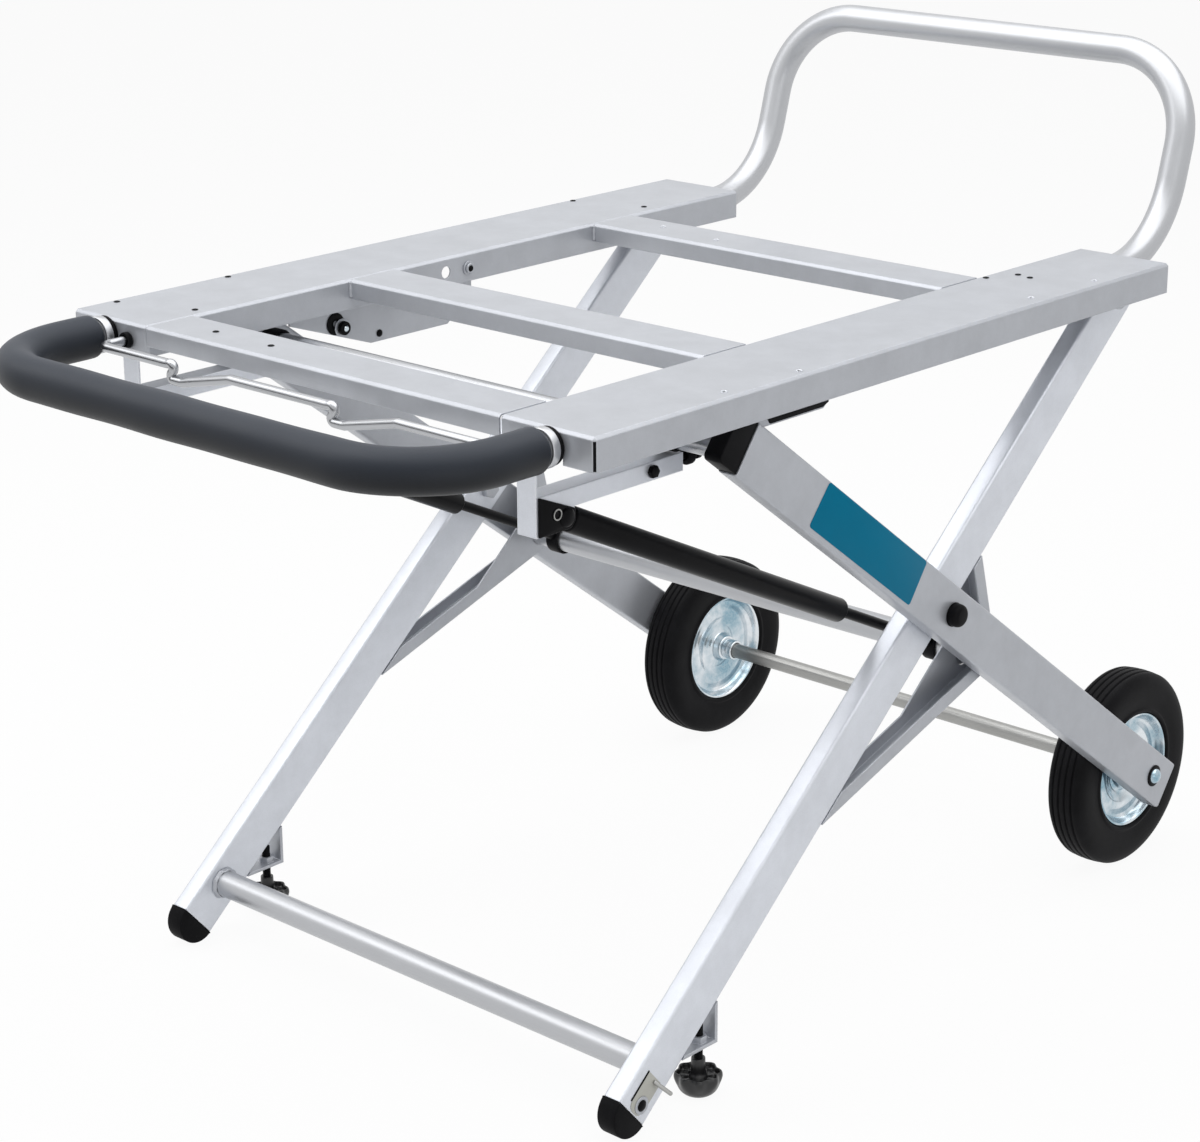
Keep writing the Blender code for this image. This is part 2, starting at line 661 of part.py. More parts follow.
def rectangular_tube(length, depth):
    """A hollow leg tube along local X, open at both ends."""
    leg = open_box((length, depth, LEG_WIDTH), ((1, 0, 0), (-1, 0, 0)))
    bevel(leg, LEG_EDGE)
    thicken(leg, LEG_WALL)
    return leg


def leg_stem(low, high):
    """The part of a cap or plug that sits inside a foot leg, from low to high along it."""
    inside = 2 * (LEG_WALL + GAP + LEG_EDGE)
    return block((high - low, LEG_DEPTH - inside, LEG_WIDTH - inside))


def rectangle(low, high, half):
    """An outline from low to high along X, and half to each side across."""
    return [(low, -half), (high, -half), (high, half), (low, half)]


def foot_legs(foot, paint, rubber):
    """The inner pair of legs, with half-round caps that stand on the floor and plugs above."""
    end = LEG_LENGTH - GAP
    length = end + LEG_OVER_HINGE
    through = LEG_WIDTH + 2 * OVERRUN
    flange_end = -LEG_OVER_HINGE - GAP
    flange_outline = rectangle(flange_end - PLUG_FLANGE, flange_end, LEG_DEPTH / 2 - PLUG_INSET)
    plug_low = flange_end - PLUG_FLANGE / 2
    plug_high = -HINGE_PIN_RADIUS - 2 * GAP
    cap_outline = arc((LEG_LENGTH, 0), CAP_RADIUS, -RIGHT_ANGLE, RIGHT_ANGLE, CAP_STEPS)
    cap_low = LEG_LENGTH - CAP_STEM
    cap_high = LEG_LENGTH + CAP_RADIUS / 2
    for name, side in SIDES:
        x = side * FOOT_LEG_X
        leg = rectangular_tube(length, LEG_DEPTH)
        place(leg, "foot_leg_" + name, paint, foot, (end - length / 2, 0, x))
        combine(leg, rod(HINGE_PIN_RADIUS + GAP, through, BOLT_STEPS), (0, 0, x))
        combine(leg, rod(BOLT_HOLE, through, BOLT_STEPS), (PIVOT_ALONG, 0, x))
        plug = plate(flange_outline, LEG_WIDTH - 2 * PLUG_INSET)
        place(plug, "leg_top_plug_" + name, rubber, foot, (0, 0, x))
        combine(plug, leg_stem(plug_low, plug_high), ((plug_low + plug_high) / 2, 0, x), operation="UNION")
        cap = plate(cap_outline, LEG_WIDTH)
        place(cap, "foot_cap_" + name, rubber, foot, (0, 0, x))
        combine(cap, leg_stem(cap_low, cap_high), ((cap_low + cap_high) / 2, 0, x), operation="UNION")


def foot_crossbar(foot, bare):
    """The round bar between the foot legs near the floor, with a collar at each end."""
    reach = FOOT_LEG_X - LEG_WIDTH / 2 - GAP
    inside = reach - CROSSBAR_COLLAR
    profile = [(0, reach), (CROSSBAR_COLLAR_RADIUS, reach), (CROSSBAR_COLLAR_RADIUS, inside), (TUBE_RADIUS, inside),
               (TUBE_RADIUS, -inside), (CROSSBAR_COLLAR_RADIUS, -inside), (CROSSBAR_COLLAR_RADIUS, -reach),
               (0, -reach)]
    bar = turned(profile, ROUND_STEPS, closed=False)
    place(bar, "foot_crossbar", bare, foot, (CROSSBAR_ALONG, 0, 0))


def gusset_edges(inset):
    """The corner farthest from the leg, drawn in by an inset, and the ways of the two edges from it."""
    corner = Vector((GUSSET_APEX_ALONG, GUSSET_APEX_ACROSS, 0))
    seat = LEG_DEPTH / 2 + GAP
    up = (Vector((GUSSET_TOP_ALONG, seat, 0)) - corner).normalized()
    down = (Vector((GUSSET_END_ALONG, seat, 0)) - corner).normalized()
    return corner + (up + down) * inset / math.sin(up.angle(down)), up, down


def edge_spot(corner, way, across):
    """The place on an edge of the gusset at a distance across the leg."""
    return corner + way * (across - corner.y) / way.y


def gusset_outline(inset, low, radius):
    """The gusset's side view, drawn in by an inset, with its open side at low."""
    corner, up, down = gusset_edges(inset)
    route = rounded((edge_spot(corner, up, low), corner, edge_spot(corner, down, low)), (radius,))
    return [(point.x, point.y) for point in route]


def inner_window_outline(low):
    """The opening in the gusset's inner side, between the leg and the side's front edge."""
    corner, up, down = gusset_edges(GUSSET_STRIP)
    route = (edge_spot(corner, up, low), edge_spot(corner, up, GUSSET_INNER_EDGE),
             edge_spot(corner, down, GUSSET_INNER_EDGE), edge_spot(corner, down, low))
    return [(point.x, point.y) for point in route]


def gussets(foot, paint, bare):
    """Folded channels behind the foot legs, and the tube between them that the gas springs push on."""
    seat = LEG_DEPTH / 2 + GAP
    below = seat - OVERRUN
    for name, side in SIDES:
        middle = (0, 0, side * FOOT_LEG_X)
        outer = (0, 0, side * (FOOT_LEG_X + LEG_WIDTH / 2))
        inner = (0, 0, side * (FOOT_LEG_X - LEG_WIDTH / 2))
        gusset = plate(gusset_outline(0, seat, GUSSET_CORNER), LEG_WIDTH)
        place(gusset, "gusset_" + name, paint, foot, middle)
        hollow = plate(gusset_outline(SHEET, below, GUSSET_CORNER - SHEET), LEG_WIDTH - 2 * SHEET)
        combine(gusset, hollow, middle)
        outer_window = plate(gusset_outline(GUSSET_STRIP, below, GUSSET_WINDOW_CORNER), LEG_WIDTH)
        combine(gusset, outer_window, outer)
        combine(gusset, plate(inner_window_outline(below), LEG_WIDTH), inner)
        hole = rod(TUBE_RADIUS + GAP, LEG_WIDTH / 2, ROUND_STEPS)
        combine(gusset, hole, (SPRING_EYE_ALONG, SPRING_EYE_ACROSS, inner[2]))
    reach = FOOT_LEG_X - LEG_WIDTH / 2 + GUSSET_TUBE_OVER
    place(rod(TUBE_RADIUS, 2 * reach), "gusset_tube", bare, foot, (SPRING_EYE_ALONG, SPRING_EYE_ACROSS, 0))


def adjusters(foot, paint, zinc, rubber):
    """Brackets on the foot legs' rear faces, and lobed feet on threaded stems that screw through them."""
    across = LEG_DEPTH / 2 + GAP

    def face_y(z):
        along = (z - HINGE_Z - across * math.cos(FOOT_ANGLE)) / math.sin(FOOT_ANGLE)
        return from_leg(along, across)[0]

    def face_z(y):
        along = (y - HINGE_Y + across * math.sin(FOOT_ANGLE)) / math.cos(FOOT_ANGLE)
        return from_leg(along, across)[1]

    low = ADJUSTER_PLATE_Z
    high = low + ADJUSTER_PLATE
    rear = ADJUSTER_PLATE_REAR_Y
    front = rear - ADJUSTER_PLATE
    outline = [(face_y(low), low), (rear, low), (rear, face_z(rear)), (front, face_z(front)), (front, high),
               (face_y(high), high)]
    stem_spot = in_leg(ADJUSTER_Y, low)
    nut_middle = in_leg(ADJUSTER_Y, high + ADJUSTER_NUT / 2 - GAP)
    upright = upright_turn()
    knob_outline = []
    for i in range(KNOB_STEPS):
        angle = 2 * math.pi * i / KNOB_STEPS
        radius = KNOB_RADIUS + KNOB_LOBE * math.cos(KNOB_LOBES * angle)
        knob_outline.append((radius * math.cos(angle), radius * math.sin(angle)))
    stem_low = KNOB_HEIGHT / 2
    stem_profile = [(0, STEM_TOP), (STEM_RADIUS, STEM_TOP), (STEM_RADIUS, STEM_HUB_TOP),
                    (STEM_HUB_RADIUS, STEM_HUB_TOP), (STEM_HUB_RADIUS, stem_low), (0, stem_low)]
    for name, side in SIDES:
        x = side * FOOT_LEG_X
        bracket = plate([in_leg(y, z) for y, z in outline], LEG_WIDTH)
        place(bracket, "adjuster_bracket_" + name, paint, foot, (0, 0, x))
        nut = rod(ADJUSTER_NUT_RADIUS, ADJUSTER_NUT, HEX_SIDES)
        combine(bracket, nut, (*nut_middle, x), upright, "UNION")
        hole = rod(STEM_RADIUS + GAP, 4 * ADJUSTER_NUT, BOLT_STEPS)
        combine(bracket, hole, (*stem_spot, x), upright)
        body = pivot("adjuster_" + name, foot, (*in_leg(ADJUSTER_Y, 0), x), upright)
        knob = plate(knob_outline, KNOB_HEIGHT)
        bevel(knob, KNOB_EDGE)
        place(knob, "adjuster_foot_" + name, rubber, body, (0, 0, KNOB_HEIGHT / 2))
        combine(knob, turned(stem_profile, BOLT_STEPS, closed=False), operation="UNION")


def upright_turn():
    """The turn, inside the foot leg's frame, that stands an object's local Z upright."""
    side_view = Matrix.Rotation(RIGHT_ANGLE, 3, "Z") @ Matrix.Rotation(RIGHT_ANGLE, 3, "X")
    leg = side_view @ Matrix.Rotation(FOOT_ANGLE, 3, "Z")
    return leg.inverted().to_euler()


def crossing_pivot(foot, zinc, rubber):
    """The bolts through both legs of each side, with their washers, and the black cap nuts outside."""
    head = FOOT_LEG_X - LEG_WIDTH / 2 - GAP
    spacer_low = FOOT_LEG_X + LEG_WIDTH / 2 + GAP
    spacer_high = WHEEL_LEG_X - LEG_WIDTH / 2 - GAP
    washer = WHEEL_LEG_X + LEG_WIDTH / 2 + GAP
    end = washer + PIVOT_WASHER
    bolt_profile = [
        (0, end),
        (PIVOT_WASHER_RADIUS, end),
        (PIVOT_WASHER_RADIUS, washer),
        (PIVOT_RADIUS, washer),
        (PIVOT_RADIUS, spacer_high),
        (PIVOT_WASHER_RADIUS, spacer_high),
        (PIVOT_WASHER_RADIUS, spacer_low),
        (PIVOT_RADIUS, spacer_low),
        (PIVOT_RADIUS, head),
        (PIVOT_HEAD_RADIUS, head),
        (PIVOT_HEAD_RADIUS, head - PIVOT_HEAD),
        (0, head - PIVOT_HEAD),
    ]
    low = end + GAP
    high = low + PIVOT_CAP
    cap_profile = [
        (0, high),
        (PIVOT_HEAD_RADIUS / 2, high),
        (PIVOT_HEAD_RADIUS - PIVOT_CAP_EDGE, high - PIVOT_CAP_EDGE),
        (PIVOT_HEAD_RADIUS, high - 2 * PIVOT_CAP_EDGE),
        (PIVOT_HEAD_RADIUS, low),
        (0, low),
    ]
    spot = (PIVOT_ALONG, 0, 0)
    for name, side in SIDES:
        bolt = turned(bolt_profile, BOLT_STEPS, closed=False)
        place(bolt, "pivot_bolt_" + name, zinc, foot, spot, flip(side))
        cap = turned(cap_profile, BOLT_STEPS, closed=False)
        place(cap, "pivot_cap_" + name, rubber, foot, spot, flip(side))


def nose_outline(face):
    """The side view of the block beyond a wheel leg's upper end, with two round corners."""
    half = WHEEL_LEG_DEPTH / 2 - PLUG_INSET
    end = face - NOSE_LENGTH
    corners = ((face, half, 0), (end, half, 0), (end, -half, 0), (face, -half, 0))
    return [(point.x, point.y) for point in rounded(corners, (NOSE_CORNER, NOSE_CORNER))]


def wheel_legs(wheel, paint, rubber):
    """The outer pair of legs, with end plugs that carry the slide bar."""
    length = WHEEL_LEG_TAIL + WHEEL_LEG_TOP
    middle = (WHEEL_LEG_TAIL - WHEEL_LEG_TOP) / 2
    through = LEG_WIDTH + 2 * OVERRUN
    face = -WHEEL_LEG_TOP - GAP
    insert_inset = LEG_WALL + GAP + PLUG_INSET
    insert = rectangle(face - PLUG_INSET, face + PLUG_DEPTH, WHEEL_LEG_DEPTH / 2 - insert_inset)
    for name, side in SIDES:
        x = side * WHEEL_LEG_X
        leg = rectangular_tube(length, WHEEL_LEG_DEPTH)
        place(leg, "wheel_leg_" + name, paint, wheel, (middle, 0, x))
        combine(leg, rod(BOLT_HOLE, through, BOLT_STEPS), (0, 0, x))
        combine(leg, rod(AXLE_RADIUS + GAP, through, BOLT_STEPS), (AXLE_ALONG, 0, x))
        plug = plate(nose_outline(face), LEG_WIDTH - 2 * PLUG_INSET)
        place(plug, "end_plug_" + name, rubber, wheel, (0, 0, x))
        combine(plug, plate(insert, LEG_WIDTH - 2 * insert_inset), (0, 0, x), operation="UNION")
        combine(plug, rod(SLIDE_RADIUS + GAP, through, ROUND_STEPS), (-SLIDE_ALONG, -SLIDE_BELOW, x))


def slide_bar(wheel, bare, rubber):
    """The bar between the wheel legs' upper ends, and the rollers that ride on the tracks."""
    reach = WHEEL_LEG_X + LEG_WIDTH / 2 - 2 * PLUG_INSET
    spot = (-SLIDE_ALONG, -SLIDE_BELOW, 0)
    place(rod(SLIDE_RADIUS, 2 * reach), "slide_bar", bare, wheel, spot)
    low = TRACK_X - ROLLER_WIDTH / 2
    for name, side in SIDES:
        roller = ring(ROLLER_RADIUS, SLIDE_RADIUS + GAP, low, low + ROLLER_WIDTH)
        place(roller, "roller_" + name, rubber, wheel, spot, flip(side))


def axle(wheel, bare, zinc):
    """The axle, its collars inside the wheels, and the bolts at its ends."""
    reach = WHEEL_LEG_X + LEG_WIDTH / 2
    spot = (AXLE_ALONG, 0, 0)
    place(rod(AXLE_RADIUS, 2 * reach), "axle", bare, wheel, spot)
    high = WHEEL_X - WHEEL_WIDTH / 2 - GAP
    outside = reach + GAP
    for name, side in SIDES:
        collar = ring(AXLE_COLLAR_RADIUS, AXLE_RADIUS + GAP, high - AXLE_COLLAR, high)
        place(collar, "axle_collar_" + name, zinc, wheel, spot, flip(side))
        bolt = rod(AXLE_BOLT_RADIUS, AXLE_BOLT, HEX_SIDES)
        place(bolt, "axle_bolt_" + name, zinc, wheel, (AXLE_ALONG, 0, side * (outside + AXLE_BOLT / 2)))


def hub_profile():
    """Half section of the pressed hub: boss, dish and rolled rim, the same on both faces."""
    bore = AXLE_RADIUS + GAP
    half = WHEEL_WIDTH / 2
    lip = RIM_WIDTH / 2
    outer = [(bore, half), (BOSS_RADIUS, half), (BOSS_RADIUS + SHEET, half * BOSS_FOOT_SHARE)]
    for radius_share, height_share in HUB_DISH_SHARES:
        outer.append((RIM_RADIUS * radius_share, half * height_share))
    outer += [(RIM_RADIUS - 2 * SHEET, lip - SHEET), (RIM_RADIUS - SHEET, lip), (RIM_RADIUS, lip - SHEET)]
    inner = [(radius, -height) for radius, height in reversed(outer)]
    return outer + inner


def tyre_profile():
    """Section of the tyre: flat sidewalls, round shoulders and grooves round the tread."""
    half = WHEEL_WIDTH / 2
    inner = RIM_RADIUS + GAP
    shoulder = half * TYRE_SHOULDER_SHARE
    side = [(inner, half - SHEET), (inner + SHEET, half - GAP), (WHEEL_RADIUS * TYRE_WALL_SHARE, half)]
    side += arc((WHEEL_RADIUS - shoulder, half - shoulder), shoulder, math.radians(70), math.radians(15), 3)
    tread = []
    for share in TREAD_SHARES:
        middle = share * half
        tread += [(WHEEL_RADIUS, middle + TREAD_GROOVE / 2), (WHEEL_RADIUS - TREAD_DEPTH, middle)]
        tread.append((WHEEL_RADIUS, middle - TREAD_GROOVE / 2))
    other = [(radius, -height) for radius, height in reversed(side)]
    return side + tread + other


def wheels(wheel, rubber, zinc):
    for name, side in SIDES:
        body = pivot("wheel_spin_" + name, wheel, (AXLE_ALONG, 0, side * WHEEL_X))
        place(turned(hub_profile(), HUB_STEPS), "hub_" + name, zinc, body)
        place(turned(tyre_profile(), TYRE_STEPS), "tyre_" + name, rubber, body)


def gas_springs(foot, bare, black):
    """A rod that pulls on the gusset tube, and a cylinder that slides over it from the track bracket."""
    length, angle = spring_line()
    along_x = (0, RIGHT_ANGLE, 0)
    eye_bore = TUBE_RADIUS + GAP
    eye_radius = eye_bore + SPRING_EYE_WALL
    eye_width = TRACK_WIDTH - 2 * (TRACK_SHEET + GAP)
    rod_start = (eye_bore + eye_radius) / 2
    rod_end = SPRING_REAR + SPRING_ROD_GUIDE
    for name, side in SIDES:
        body = pivot("gas_spring_" + name, foot, (SPRING_EYE_ALONG, SPRING_EYE_ACROSS, side * TRACK_X),
                     (0, 0, angle - FOOT_ANGLE))
        piston = rod(SPRING_ROD_RADIUS, rod_end - rod_start, BOLT_STEPS)
        place(piston, "gas_rod_" + name, bare, body, ((rod_start + rod_end) / 2, 0, 0), along_x)
        eye = plate(circle((0, 0), eye_radius, ROUND_STEPS), eye_width, [circle((0, 0), eye_bore, ROUND_STEPS)])
        combine(piston, eye, operation="UNION")
        barrel_end = length - SPRING_FRONT
        barrel = rod(SPRING_RADIUS, barrel_end - SPRING_REAR)
        bevel(barrel, SPRING_EDGE)
        place(barrel, "gas_cylinder_" + name, black, body, ((SPRING_REAR + barrel_end) / 2, 0, 0), along_x)
        bore_length = SPRING_STROKE + SPRING_ROD_GUIDE + OVERRUN
        bore_spot = (SPRING_REAR - OVERRUN / 2 + bore_length / 2, 0, 0)
        combine(barrel, rod(SPRING_ROD_RADIUS + GAP, bore_length, BOLT_STEPS), bore_spot, along_x)
        neck_start = barrel_end - OVERRUN / 2
        neck = rod(SPRING_NECK_RADIUS, length - neck_start, BOLT_STEPS)
        combine(barrel, neck, ((neck_start + length) / 2, 0, 0), along_x, operation="UNION")
        head = rod(SPRING_HEAD_RADIUS, eye_width, BOLT_STEPS)
        combine(barrel, head, (length, 0, 0), operation="UNION")


def release_bail(deck, chrome):
    """A wire across the front with two kinks, whose arms slide through holes in the rails' fronts."""
    body = pivot("bail_slide", deck, (0, 0, BAIL_Z))
    corners = [(-BAIL_X, BAIL_INSIDE, 0), (-BAIL_X, -BAIL_REACH, 0)]
    radii = [BAIL_BEND]
    tight = BAIL_RADIUS * BAIL_TIGHT_SHARE
    for middle in BAIL_KINKS:
        left = middle - BAIL_KINK_HALF
        crest = left + BAIL_KINK_HALF * BAIL_CREST_SHARE
        hook = left - BAIL_KINK_HALF * BAIL_HOOK_SHARE
        corners.append((left, -BAIL_REACH, 0))
        corners.append((crest, -BAIL_REACH, BAIL_KINK_RISE))
        corners.append((hook, -BAIL_REACH, -BAIL_KINK_DROP))
        corners.append((crest, -BAIL_REACH, -BAIL_KINK_DROP))
        corners.append((middle + BAIL_KINK_HALF, -BAIL_REACH, 0))
        radii += [BAIL_BEND, tight, tight, BAIL_BEND / 2, BAIL_BEND]
    corners += [(BAIL_X, -BAIL_REACH, 0), (BAIL_X, BAIL_INSIDE, 0)]
    radii.append(BAIL_BEND)
    wire = tube(rounded(corners, radii, WIRE_BEND_STEPS), BAIL_RADIUS, WIRE_STEPS)
    place(wire, "release_bail", chrome, body)


def main():
    start()
    paint = material("silver_paint", (0.60, 0.62, 0.65), 0.38, 0.35)
    bare = material("bright_tube", (0.72, 0.73, 0.75), 0.28, 0.85)
    chrome = material("chrome_wire", (0.80, 0.80, 0.82), 0.12, 1.0)
    zinc = material("zinc_plate", (0.62, 0.66, 0.68), 0.30, 0.90)
    rubber = material("black_rubber", (0.03, 0.03, 0.035), 0.65, 0.0)
    foam = material("black_foam", (0.06, 0.065, 0.08), 0.75, 0.0)
    black = material("black_enamel", (0.03, 0.03, 0.035), 0.35, 0.0)

    deck = pivot("deck", None, (0, FRONT_Y, 0))
    side_view = pivot("side_view", deck, (0, 0, 0), (RIGHT_ANGLE, 0, RIGHT_ANGLE))
    foot = pivot("fold_hinge", side_view, (HINGE_Y, HINGE_Z, 0), (0, 0, FOOT_ANGLE))
    wheel = pivot("crossing", foot, (PIVOT_ALONG, 0, 0), (0, 0, -WHEEL_SLOPE - FOOT_ANGLE))

    rails(deck, paint)
    cross_channels(deck, paint)
    front_grip(deck, bare, foam)
    rear_handle(deck, bare)
    track_brackets(side_view, paint)
    side_plates(side_view, paint)
    hinge_brackets(side_view, paint, zinc)
    stop_bolts(side_view, zinc)
    release_bail(deck, chrome)
    foot_legs(foot, paint, rubber)
    foot_crossbar(foot, bare)
    gussets(foot, paint, bare)
    adjusters(foot, paint, zinc, rubber)
    crossing_pivot(foot, zinc, rubber)
    wheel_legs(wheel, paint, rubber)
    slide_bar(wheel, bare, rubber)
    axle(wheel, bare, zinc)
    wheels(wheel, rubber, zinc)
    gas_springs(foot, bare, black)


main()
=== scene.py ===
"""Looks for a folding table saw stand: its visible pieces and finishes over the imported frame.

Laid out as a Blender add-on and run as a script. Metres, +Z up, +X the stand's right side, +Y its rear.
Every surface is a grid of points worked out as whole arrays. Most shapes are made in a side view frame,
whose points are (along, across, x), and are then turned into the stand.
"""
import math

import bpy
import numpy as np
from mathutils import Matrix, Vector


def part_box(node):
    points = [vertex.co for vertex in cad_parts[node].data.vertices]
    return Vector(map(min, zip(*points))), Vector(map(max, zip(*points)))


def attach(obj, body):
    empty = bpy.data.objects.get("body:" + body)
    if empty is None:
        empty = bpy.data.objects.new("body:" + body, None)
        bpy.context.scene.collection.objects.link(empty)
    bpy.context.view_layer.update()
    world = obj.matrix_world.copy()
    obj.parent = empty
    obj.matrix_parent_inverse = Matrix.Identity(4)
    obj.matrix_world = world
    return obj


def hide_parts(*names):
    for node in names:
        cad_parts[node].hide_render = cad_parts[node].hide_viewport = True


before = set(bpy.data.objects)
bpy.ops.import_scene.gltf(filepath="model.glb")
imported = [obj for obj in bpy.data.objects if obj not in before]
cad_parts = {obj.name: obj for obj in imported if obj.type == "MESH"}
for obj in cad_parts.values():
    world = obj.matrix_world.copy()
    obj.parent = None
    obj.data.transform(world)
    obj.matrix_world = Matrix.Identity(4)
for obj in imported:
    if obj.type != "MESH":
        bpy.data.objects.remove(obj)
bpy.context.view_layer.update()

bl_info = {
    "name": "Table Saw Stand",
    "version": (1, 0, 0),
    "blender": (4, 5, 0),
    "location": "3D View > Sidebar > Stand",
    "description": "Builds the looks of a folding table saw stand over its frame",
    "category": "Add Mesh",
}

SIDES = (("left", -1), ("right", 1))
GAP = 0.0003

# Sections of the tubes and legs
TUBE_RADIUS = 0.0127
HANDLE_RADIUS = 0.014
BAIL_RADIUS = 0.0042
LEG_WIDTH = 0.020
LEG_DEPTH = 0.044
LEG_LENGTH = 0.8925
WHEEL_LEG_DEPTH = 0.048
WHEEL_RADIUS = 0.1
WHEEL_HALF = 0.021
HUB_BORE = 0.0083
ROLLER_RADIUS = 0.0115

# Places across the stand
GRIP_X = 0.268
GRIP_REACH = 0.1398
GRIP_CORNER = 0.085
HANDLE_X = 0.250
BAIL_X = 0.239
FOOT_LEG_X = 0.2795
WHEEL_LEG_X = 0.3015
WHEEL_X = 0.2685
TRACK_X = 0.240
SIDE_PLATE_X = 0.231
DECK_HALF = 0.314
RAIL_INSIDE = 0.214

# Places in the side view: y from the deck's front edge, height, and lengths along the legs
FRONT_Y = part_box("rail_right")[0].y
DECK_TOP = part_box("rail_right")[1].z
RAIL_SKIRT = 0.028
SEAT_TOP = DECK_TOP - 0.0018
TUBE_Z = SEAT_TOP - TUBE_RADIUS
BAIL_Z = 0.612
STEM_Y = 0.16295
HINGE = (0.7476, 0.5993)
FOOT_SLOPE = math.asin((HINGE[1] - LEG_DEPTH / 2) / LEG_LENGTH)
PIVOT_ALONG = 0.364
FOOT_BAR_ALONG = 0.848
SPRING_EYE = (0.3487, 0.0988)
AXLE_ALONG = 0.440
WHEEL_LEG_TOP = 0.3585
WHEEL_LEG_TAIL = 0.471
SLIDE = (-0.370, -0.008)


def unit(vectors):
    """Each vector divided by its own length."""
    return vectors / np.linalg.norm(vectors, axis=-1, keepdims=True)


class SideFrame:
    """A frame in the side view: its origin, its first axis turned up from the rear, and its body."""

    def __init__(self, y, z, angle=0.0, body=""):
        cos, sin = math.cos(angle), math.sin(angle)
        self.origin = np.array([0.0, y, z])
        self.axes = np.array([[0, cos, sin], [0, -sin, cos], [1, 0, 0]])
        self.body = body

    def world(self, points, side=1):
        """World point = origin + along * first axis + across * second axis + side * x."""
        return self.origin + (np.asarray(points) * (1, 1, side)) @ self.axes

    def inside(self, y, z):
        """The along and across of a place in the deck's side view."""
        return (self.axes @ (np.array([0.0, y + FRONT_Y, z]) - self.origin))[:2]

    def piece(self, name, grid, look, side=1, replaces="", body="", **details):
        """A piece given in this frame; it rides on the frame's body where no other is named."""
        return piece(name, self.world(grid, side), body or self.body, look, replaces, **details)

    def pair(self, stem, grid, look, node="", body="", **details):
        """The same piece on both sides; the names of it, its node and its body end in the side's word."""
        for word, side in SIDES:
            names = [part and f"{part}_{word}" for part in (stem, node, body)]
            self.piece(names[0], grid, look, side, names[1], names[2], **details)


DECK = SideFrame(FRONT_Y, 0, body="deck_frame")
FOOT = SideFrame(HINGE[0] + FRONT_Y, HINGE[1], math.pi + FOOT_SLOPE, "foot_frame")
CROSSING = FOOT.world((PIVOT_ALONG, 0, 0))
WHEEL_SLOPE = math.asin((CROSSING[2] - WHEEL_RADIUS) / AXLE_ALONG)
WHEEL = SideFrame(CROSSING[1], CROSSING[2], -WHEEL_SLOPE, "wheel_frame")
ROLLER = WHEEL.world((*SLIDE, 0))
TRACK_TOP = float(ROLLER[2]) - ROLLER_RADIUS - 0.0012
TRACK_REAR = float(ROLLER[1]) - FRONT_Y + 0.005
STOP_Z = TRACK_TOP - 0.00775
SPRING_PIN = (0.035, TRACK_TOP - 0.022)
EYE = FOOT.world((*SPRING_EYE, 0))
PIN = DECK.world((*SPRING_PIN, 0))
SPRING_LENGTH = float(np.linalg.norm(PIN - EYE))
SPRING = SideFrame(EYE[1], EYE[2], math.atan2(PIN[2] - EYE[2], PIN[1] - EYE[1]))


# Surfaces

def arc(centre, radius, first, last, steps=8):
    """Points at centre + radius * (cosine, sine) of angles from first to last, in degrees."""
    angle = np.radians(np.linspace(first, last, steps + 1))
    return np.asarray(centre) + radius * np.stack([np.cos(angle), np.sin(angle)], -1)


def rounded(corners, radii, steps=10):
    """A polyline whose inner corners are arcs tangent to both arms; a radius of zero leaves one sharp."""
    corners = np.array(corners, float)
    radii = np.broadcast_to(radii, len(corners) - 2)
    pieces = [corners[:1]]
    for before, corner, after, radius in zip(corners, corners[1:], corners[2:], radii):
        back, ahead = unit(before - corner), unit(after - corner)
        half = np.arccos(np.clip(back @ ahead, -1, 1)) / 2
        if radius == 0:
            pieces.append(corner[None])
            continue
        middle = corner + unit(back + ahead) * radius / np.sin(half)
        first = corner + back * radius / np.tan(half) - middle
        last = corner + ahead * radius / np.tan(half) - middle
        sweep = np.pi - 2 * half
        share = np.linspace(0, 1, steps + 1)[:, None]
        arm = (first * np.sin((1 - share) * sweep) + last * np.sin(share * sweep)) / np.sin(sweep)
        pieces.append(middle + arm)
    pieces.append(corners[-1:])
    return np.concatenate(pieces)


def loop(corners, radii, steps=5):
    """A closed outline with rounded corners."""
    corners = np.array(corners, float)
    around = np.concatenate([corners[-1:], corners, corners[:1]])
    return rounded(around, radii, steps)[1:-1]


def smooth(points, steps=6):
    """A curve through all the points: each stretch is the cubic that leaves along its neighbours' chord."""
    points = np.array(points, float)
    padded = np.concatenate([2 * points[:1] - points[1:2], points, 2 * points[-1:] - points[-2:-1]])
    a, b, c, d = padded[:-3, None], padded[1:-2, None], padded[2:-1, None], padded[3:, None]
    t = np.linspace(0, 1, steps, endpoint=False)[None, :, None]
    squared = 2 * a - 5 * b + 4 * c - d
    cubed = 3 * b - a - 3 * c + d
    curve = 0.5 * (2 * b + (c - a) * t + squared * t ** 2 + cubed * t ** 3)
    return np.concatenate([curve.reshape(-1, points.shape[1]), points[-1:]])


def box_outline(depth, width, radius, steps=5):
    """The section of a rectangular tube with rounded corners, as across and x."""
    half, side = depth / 2, width / 2
    return loop([(-half, -side), (half, -side), (half, side), (-half, side)], radius, steps)


def ring(radius, sides=32):
    """A circle of points."""
    angle = np.linspace(0, 2 * np.pi, sides, endpoint=False)
    return radius * np.stack([np.cos(angle), np.sin(angle)], -1)


def stations(path, places):
    """Points and unit tangents of a path at the given lengths along it."""
    reach = np.concatenate([[0], np.cumsum(np.linalg.norm(np.diff(path, axis=0), axis=-1))])
    tangents = unit(np.gradient(path, axis=0))
    spots = np.stack([np.interp(places, reach, path[:, i]) for i in range(3)], -1)
    return spots, unit(np.stack([np.interp(places, reach, tangents[:, i]) for i in range(3)], -1))


